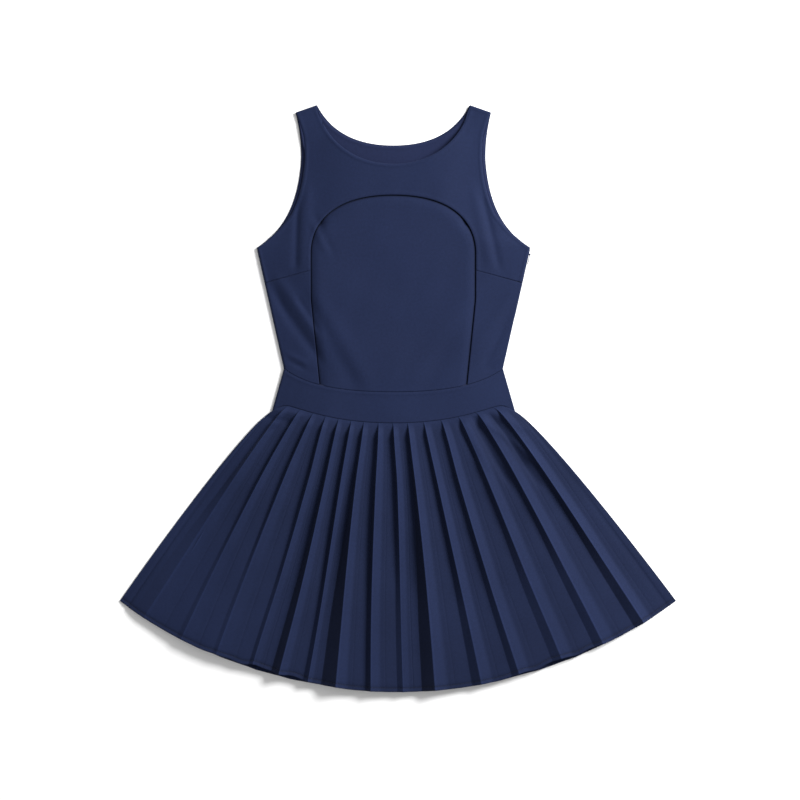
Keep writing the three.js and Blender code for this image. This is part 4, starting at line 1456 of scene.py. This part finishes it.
@dataclass
class Zip:
    """The concealed zip down the wearer's left side: tapes, coils, stops, slider and pull tab.

    Its pieces are drawn with x outwards from the garment's edge, y along the seam and z up.
    """

    tape: float = 0.4
    tape_width: float = 11.0
    coil: float = 1.2
    wing: float = 0.5
    web: float = 0.6
    plate: float = 0.8
    play: float = 0.3
    start: float = 3.0
    stop: float = 2.5
    slider: float = 9.0
    in_skirt: float = 45.0
    edge_inset: float = 1.2
    turn_pitch: float = 1.25
    levels: dict[str, float] = field(default_factory=dict)

    def build(self) -> None:
        """Builds and dresses every piece of the zip."""
        low = PATTERN.layer
        for name, rise in (("lower_wing", self.tape + self.play), ("back_coil", self.wing + self.play),
                           ("web", self.coil + self.play), ("front_coil", self.web + self.play),
                           ("upper_wing", self.coil + self.play), ("front_tape", self.wing + self.play)):
            low += rise
            self.levels[name] = low
        self.tapes()
        for side in ("back", "front"):
            self.coil_of(side)
            self.stop_at(f"zip_top_stop_{side}", self.start, self.levels[f"{side}_coil"], self.coil)
        bridge = self.levels["front_coil"] + self.coil - self.levels["back_coil"]
        self.stop_at("zip_bottom_stop", self.length() - self.stop, self.levels["back_coil"], bridge)
        self.slider_body()
        self.pull_tab()

    @property
    def fold(self) -> float:
        """Where the tapes turn, inwards from the garment's edge."""
        return -self.edge_inset - self.tape

    def path(self) -> Points:
        """The seam the zip is set in, from the underarm down."""
        edge = np.array(PATTERN.skirt_point(np.array([1.0]), np.array([1.0]), np.linspace(0, 1, 2)))
        share = self.in_skirt / float(np.linalg.norm(edge[:, 1] - edge[:, 0]))
        end = np.array(PATTERN.skirt_point(np.array([1.0]), np.array([1.0]), np.array([share])))[:, 0]
        return np.array([PATTERN.underarm, PATTERN.waist, PATTERN.band_corner, tuple(end)])

    def length(self) -> float:
        """The zip's length along the seam."""
        return float(np.linalg.norm(np.diff(self.path(), axis=0), axis=1).sum())

    def follow(self, points: Points) -> Points:
        """Carries (outwards, along, up) onto the seam, which bends at the waist and the band."""
        path = self.path()
        runs = np.diff(path, axis=0)
        lengths = np.linalg.norm(runs, axis=1)
        units = runs / lengths[:, None]
        normals = np.stack([-units[:, 1], units[:, 0]], axis=1)
        joints = normals[:-1] + normals[1:]
        joints = joints / (joints * normals[1:]).sum(axis=1, keepdims=True)
        out = np.vstack([normals[:1], joints, normals[-1:]])
        marks = np.concatenate([[0], np.cumsum(lengths)])
        s = points[:, 1]
        place = np.stack([np.interp(s, marks, path[:, k]) for k in (0, 1)], axis=1)
        away = np.stack([np.interp(s, marks, out[:, k]) for k in (0, 1)], axis=1)
        return np.hstack([place + away * points[:, :1], points[:, 2:]])

    def upright(self, points: Points) -> Points:
        """Carries the slider's frame to the underarm, its y up the side seam."""
        path = self.path()
        up = (path[0] - path[1]) / np.linalg.norm(path[0] - path[1])
        out = np.array([up[1], -up[0]])
        place = path[0] + points[:, :1] * out + points[:, 1:2] * up
        return np.hstack([place, points[:, 2:]])

    def tapes(self) -> None:
        """Both woven tapes, turned towards each other at the garment's edge."""
        middle = self.levels["web"] + self.web / 2
        tuck = self.levels["web"] - self.play - PATTERN.layer
        rows, lying, turned = 240, 12, 5
        grid = (rows, lying + turned)
        s = np.linspace(self.start, self.length(), rows)[:, None]
        flat = np.linspace(self.fold - self.tape_width + self.tape, self.fold + self.tape / 2, lying)
        n = np.concatenate([flat, np.full(turned, self.fold + self.tape)])[None, :]
        z = np.concatenate([np.full(lying, self.tape), np.linspace(self.tape, tuck, turned + 1)[1:]])[None, :]
        grain = np.concatenate([flat, flat[-1] + np.linspace(0, tuck, turned + 1)[1:]])[None, :]
        n, z, grain, s = (np.broadcast_to(a, grid).ravel() for a in (n, z + PATTERN.layer, grain, s))
        for side in ("back", "front"):
            level = z if side == "back" else 2 * middle - z + self.tape
            placed = self.follow(np.stack([n, s, level], axis=1)).reshape(*grid, 3)
            weave = (grain.reshape(grid), s.reshape(grid))
            cloth = Cloth(placed[..., 0], placed[..., 1], placed[..., 2], weave, np.ones(grid))
            lay_sheet(cloth, f"zip_tape_{side}_cloth", TWILL_TAPE, f"zip_tape_{side}",
                      self.tape * 0.9)

    def coil_of(self, side: str) -> None:
        """One side's coil: a nylon thread wound round and round along the tape."""
        wire, steps = 0.2, 9
        first = self.start + self.stop + self.play
        last = self.length() - self.stop - self.play
        turns = int((last - first) / self.turn_pitch)
        coil = Solid(f"zip_coil_{side}_turns", self.follow)
        radius = self.coil / 2 - wire
        at = Matrix.Translation((radius, 0, 0))
        ring = bmesh.ops.create_circle(coil.bm, segments=5, radius=wire, matrix=at)["verts"]
        bmesh.ops.spin(coil.bm, geom=ring + coil.bm.edges[:], cent=(0, 0, 0), axis=(0, 1, 0),
                       dvec=(0, self.turn_pitch / steps, 0), angle=2 * math.pi * turns, steps=steps * turns)
        bmesh.ops.holes_fill(coil.bm, edges=[e for e in coil.bm.edges if e.is_boundary], sides=0)
        bmesh.ops.recalc_face_normals(coil.bm, faces=coil.bm.faces[:])
        across = self.fold - self.play - self.coil / 2
        up = self.levels[f"{side}_coil"] + self.coil / 2
        bmesh.ops.translate(coil.bm, verts=coil.bm.verts[:], vec=(across, first, up))
        dress(coil.make(), COIL_NYLON, "garment", f"zip_coil_{side}")

    def stop_at(self, node: str, along_seam: float, low: float, height: float) -> None:
        """A stop clamped round the coils.

        Args:
            node: the CAD node it stands for.
            along_seam: where its upper end is.
            low: height of its underside.
            height: from its underside to its top.
        """
        inner = self.fold - self.play - self.coil
        stop = Solid(f"{node}_clamp", self.follow)
        stop.block((inner, along_seam, low), (inner + self.coil, along_seam + self.stop, low + height), 0.22)
        dress(stop.make(), ZIP_LACQUER, "garment", node)

    def slider_body(self) -> None:
        """The slider: two wings joined by a plate on its inner side, and a lug for the tab."""
        top = -(self.start + self.stop + self.play)
        foot, hinge = top - self.slider, top - self.slider / 2
        coil_outer = self.fold - self.play
        plate_outer = coil_outer - self.coil - self.play
        lower, upper = self.levels["lower_wing"], self.levels["upper_wing"]
        web, web_top = self.levels["web"], self.levels["web"] + self.web
        body = Solid("zip_slider_body", self.upright)
        inner = plate_outer - self.plate
        for low in (lower, upper):
            body.block((inner, foot, low), (coil_outer, top, low + self.wing), 0.12, 0.9)
        body.block((inner, foot + 0.2, lower), (plate_outer, top - 0.2, upper + self.wing), 0.14, 0.3)
        body.block((plate_outer - 0.2, hinge - 1.3, web), (0.9, hinge + 1.3, web_top), 0.1)
        body.ring((1.8, hinge, 0), 1.3, 0.7, web, web_top)
        dress(body.make(), ZIP_LACQUER, "slider", "zip_slider")

    def pull_tab(self) -> None:
        """The pull tab: two cheeks round the lug, a pin, and a rounded blade."""
        hinge = -(self.start + self.stop + self.play) - self.slider / 2
        web, web_top = self.levels["web"], self.levels["web"] + self.web
        middle, cheek, reach, half = (web + web_top) / 2, 0.5, 1.8, 0.45
        low, high = web - self.play - cheek, web_top + self.play + cheek
        clear, foot = hinge - 1.8, hinge - 15
        tab = Solid("zip_pull_tab_blade", self.upright)
        tab.block((reach - half, foot, middle - 2), (reach + half, clear, middle + 2), 0.2, 1.5, upright=0)
        for level in (low, high - cheek):
            tab.block((reach - half, clear - 0.6, level), (reach + half, hinge, level + cheek), 0.1)
            tab.ring((reach, hinge, 0), 1.0, 0.0, level, level + cheek)
        tab.ring((reach, hinge, 0), 0.4, 0.0, low, high)
        dress(tab.make(), ZIP_LACQUER, "pull_tab", "zip_pull_tab")


@dataclass
class Trimmings:
    """The blank care label and the tapes that stay the shoulder seams."""

    label: tuple[float, float, float, float] = (6.0, 60.0, 30.0, 20.0)
    stay: float = 0.4
    stay_width: float = 6.0

    def build(self) -> None:
        """Builds and dresses the label and both tapes."""
        self.care_label()
        low = 2 * PATTERN.layer
        for sign, side in ((1, "left"), (-1, "right")):
            a, b = np.array(PATTERN.shoulder_tip) - 2, np.array(PATTERN.neck_point) + [2, -2]
            u, q = np.linspace(0, 1, 40)[None, :], np.linspace(0, 1, 8)[:, None]
            x = mix(b[0], a[0], u) * sign + 0 * q
            y = mix(b[1], a[1], u) - self.stay_width * q
            z = low + self.stay + 0 * x
            cloth = Cloth(x, y, z, (x, y), np.ones_like(x))
            lay_sheet(cloth, f"shoulder_tape_{side}", TWILL_TAPE, f"shoulder_stay_tape_{side}",
                      self.stay * 0.9)

    def care_label(self) -> None:
        """A blank satin label sewn into the side seam."""
        inset, height, length, width = self.label
        outer = -(float(PATTERN.half_width(np.array(height))) - inset)
        x = outer + length * np.linspace(0, 1, 60)[None, :] + np.zeros((40, 1))
        y = height + width * np.linspace(0, 1, 40)[:, None] + np.zeros((1, 60))
        edge = np.minimum.reduce([x - outer, outer + length - x, y - height, height + width - y])
        z = PATTERN.layer + 0.3 + 0.12 * np.exp(-((edge / 1.2) ** 2)) + 0.05 * ripple(x, y, 14, 31)
        cloth = Cloth(x, y, z, (x, y), np.ones_like(x))
        lay_sheet(cloth, "care_label_satin", LABEL_SATIN, "care_label", 0.25)


# ---------------------------------------------------------------- the studio


@dataclass(frozen=True)
class Studio:
    """A plain white floor, soft light from the upper right and a camera straight above."""

    view_width: float = 1.2
    lens: float = 85.0
    sensor: float = 36.0
    centre: tuple[float, float] = (0.003, -0.003)
    key_place: tuple[float, float, float] = (1.9, 1.2, 1.5)
    key_width: float = 1.3
    key_power: float = 165.0
    surround: float = 0.52

    def build(self) -> None:
        """Sets the floor, lights and camera."""
        self.floor()
        self.lights()
        self.camera()

    def floor(self) -> None:
        """The pale table top."""
        bm = bmesh.new()
        bmesh.ops.create_grid(bm, x_segments=1, y_segments=1, size=6)
        mesh = bpy.data.meshes.new("floor")
        bm.to_mesh(mesh)
        bm.free()
        floor = stand("floor", mesh)
        floor.location.z = -0.0002
        material, _, shader = new_material("floor_paper")
        shader.inputs["Base Color"].default_value = (0.93, 0.93, 0.93, 1)
        shader.inputs["Roughness"].default_value = 0.9
        mesh.materials.append(material)

    def lights(self) -> None:
        """A large soft key light and an even surround."""
        key = bpy.data.lights.new("key", "AREA")
        key.shape = "DISK"
        key.size = self.key_width
        key.energy = self.key_power
        lamp = stand("key", key)
        lamp.location = self.key_place
        lamp.rotation_euler = (-lamp.location).to_track_quat("-Z", "Y").to_euler()
        world = bpy.data.worlds.new("surround")
        world.use_nodes = True
        background = world.node_tree.nodes["Background"]
        background.inputs["Color"].default_value = (1, 1, 1, 1)
        background.inputs["Strength"].default_value = self.surround
        bpy.context.scene.world = world
        bpy.context.scene.view_settings.view_transform = "Standard"

    def camera(self) -> None:
        """The camera, straight above the uniform's middle."""
        camera = bpy.data.cameras.new("camera")
        camera.lens = self.lens
        camera.sensor_width = self.sensor
        eye = stand("camera", camera)
        eye.location = (*self.centre, self.view_width * self.lens / self.sensor)
        bpy.context.scene.camera = eye


def main() -> None:
    """Builds the uniform piece by piece."""
    for part in (Studio(), Bodice(), Facings(), Waistband(), Skirt(), Zip(), Trimmings()):
        part.build()


if __name__ == "__main__":
    main()
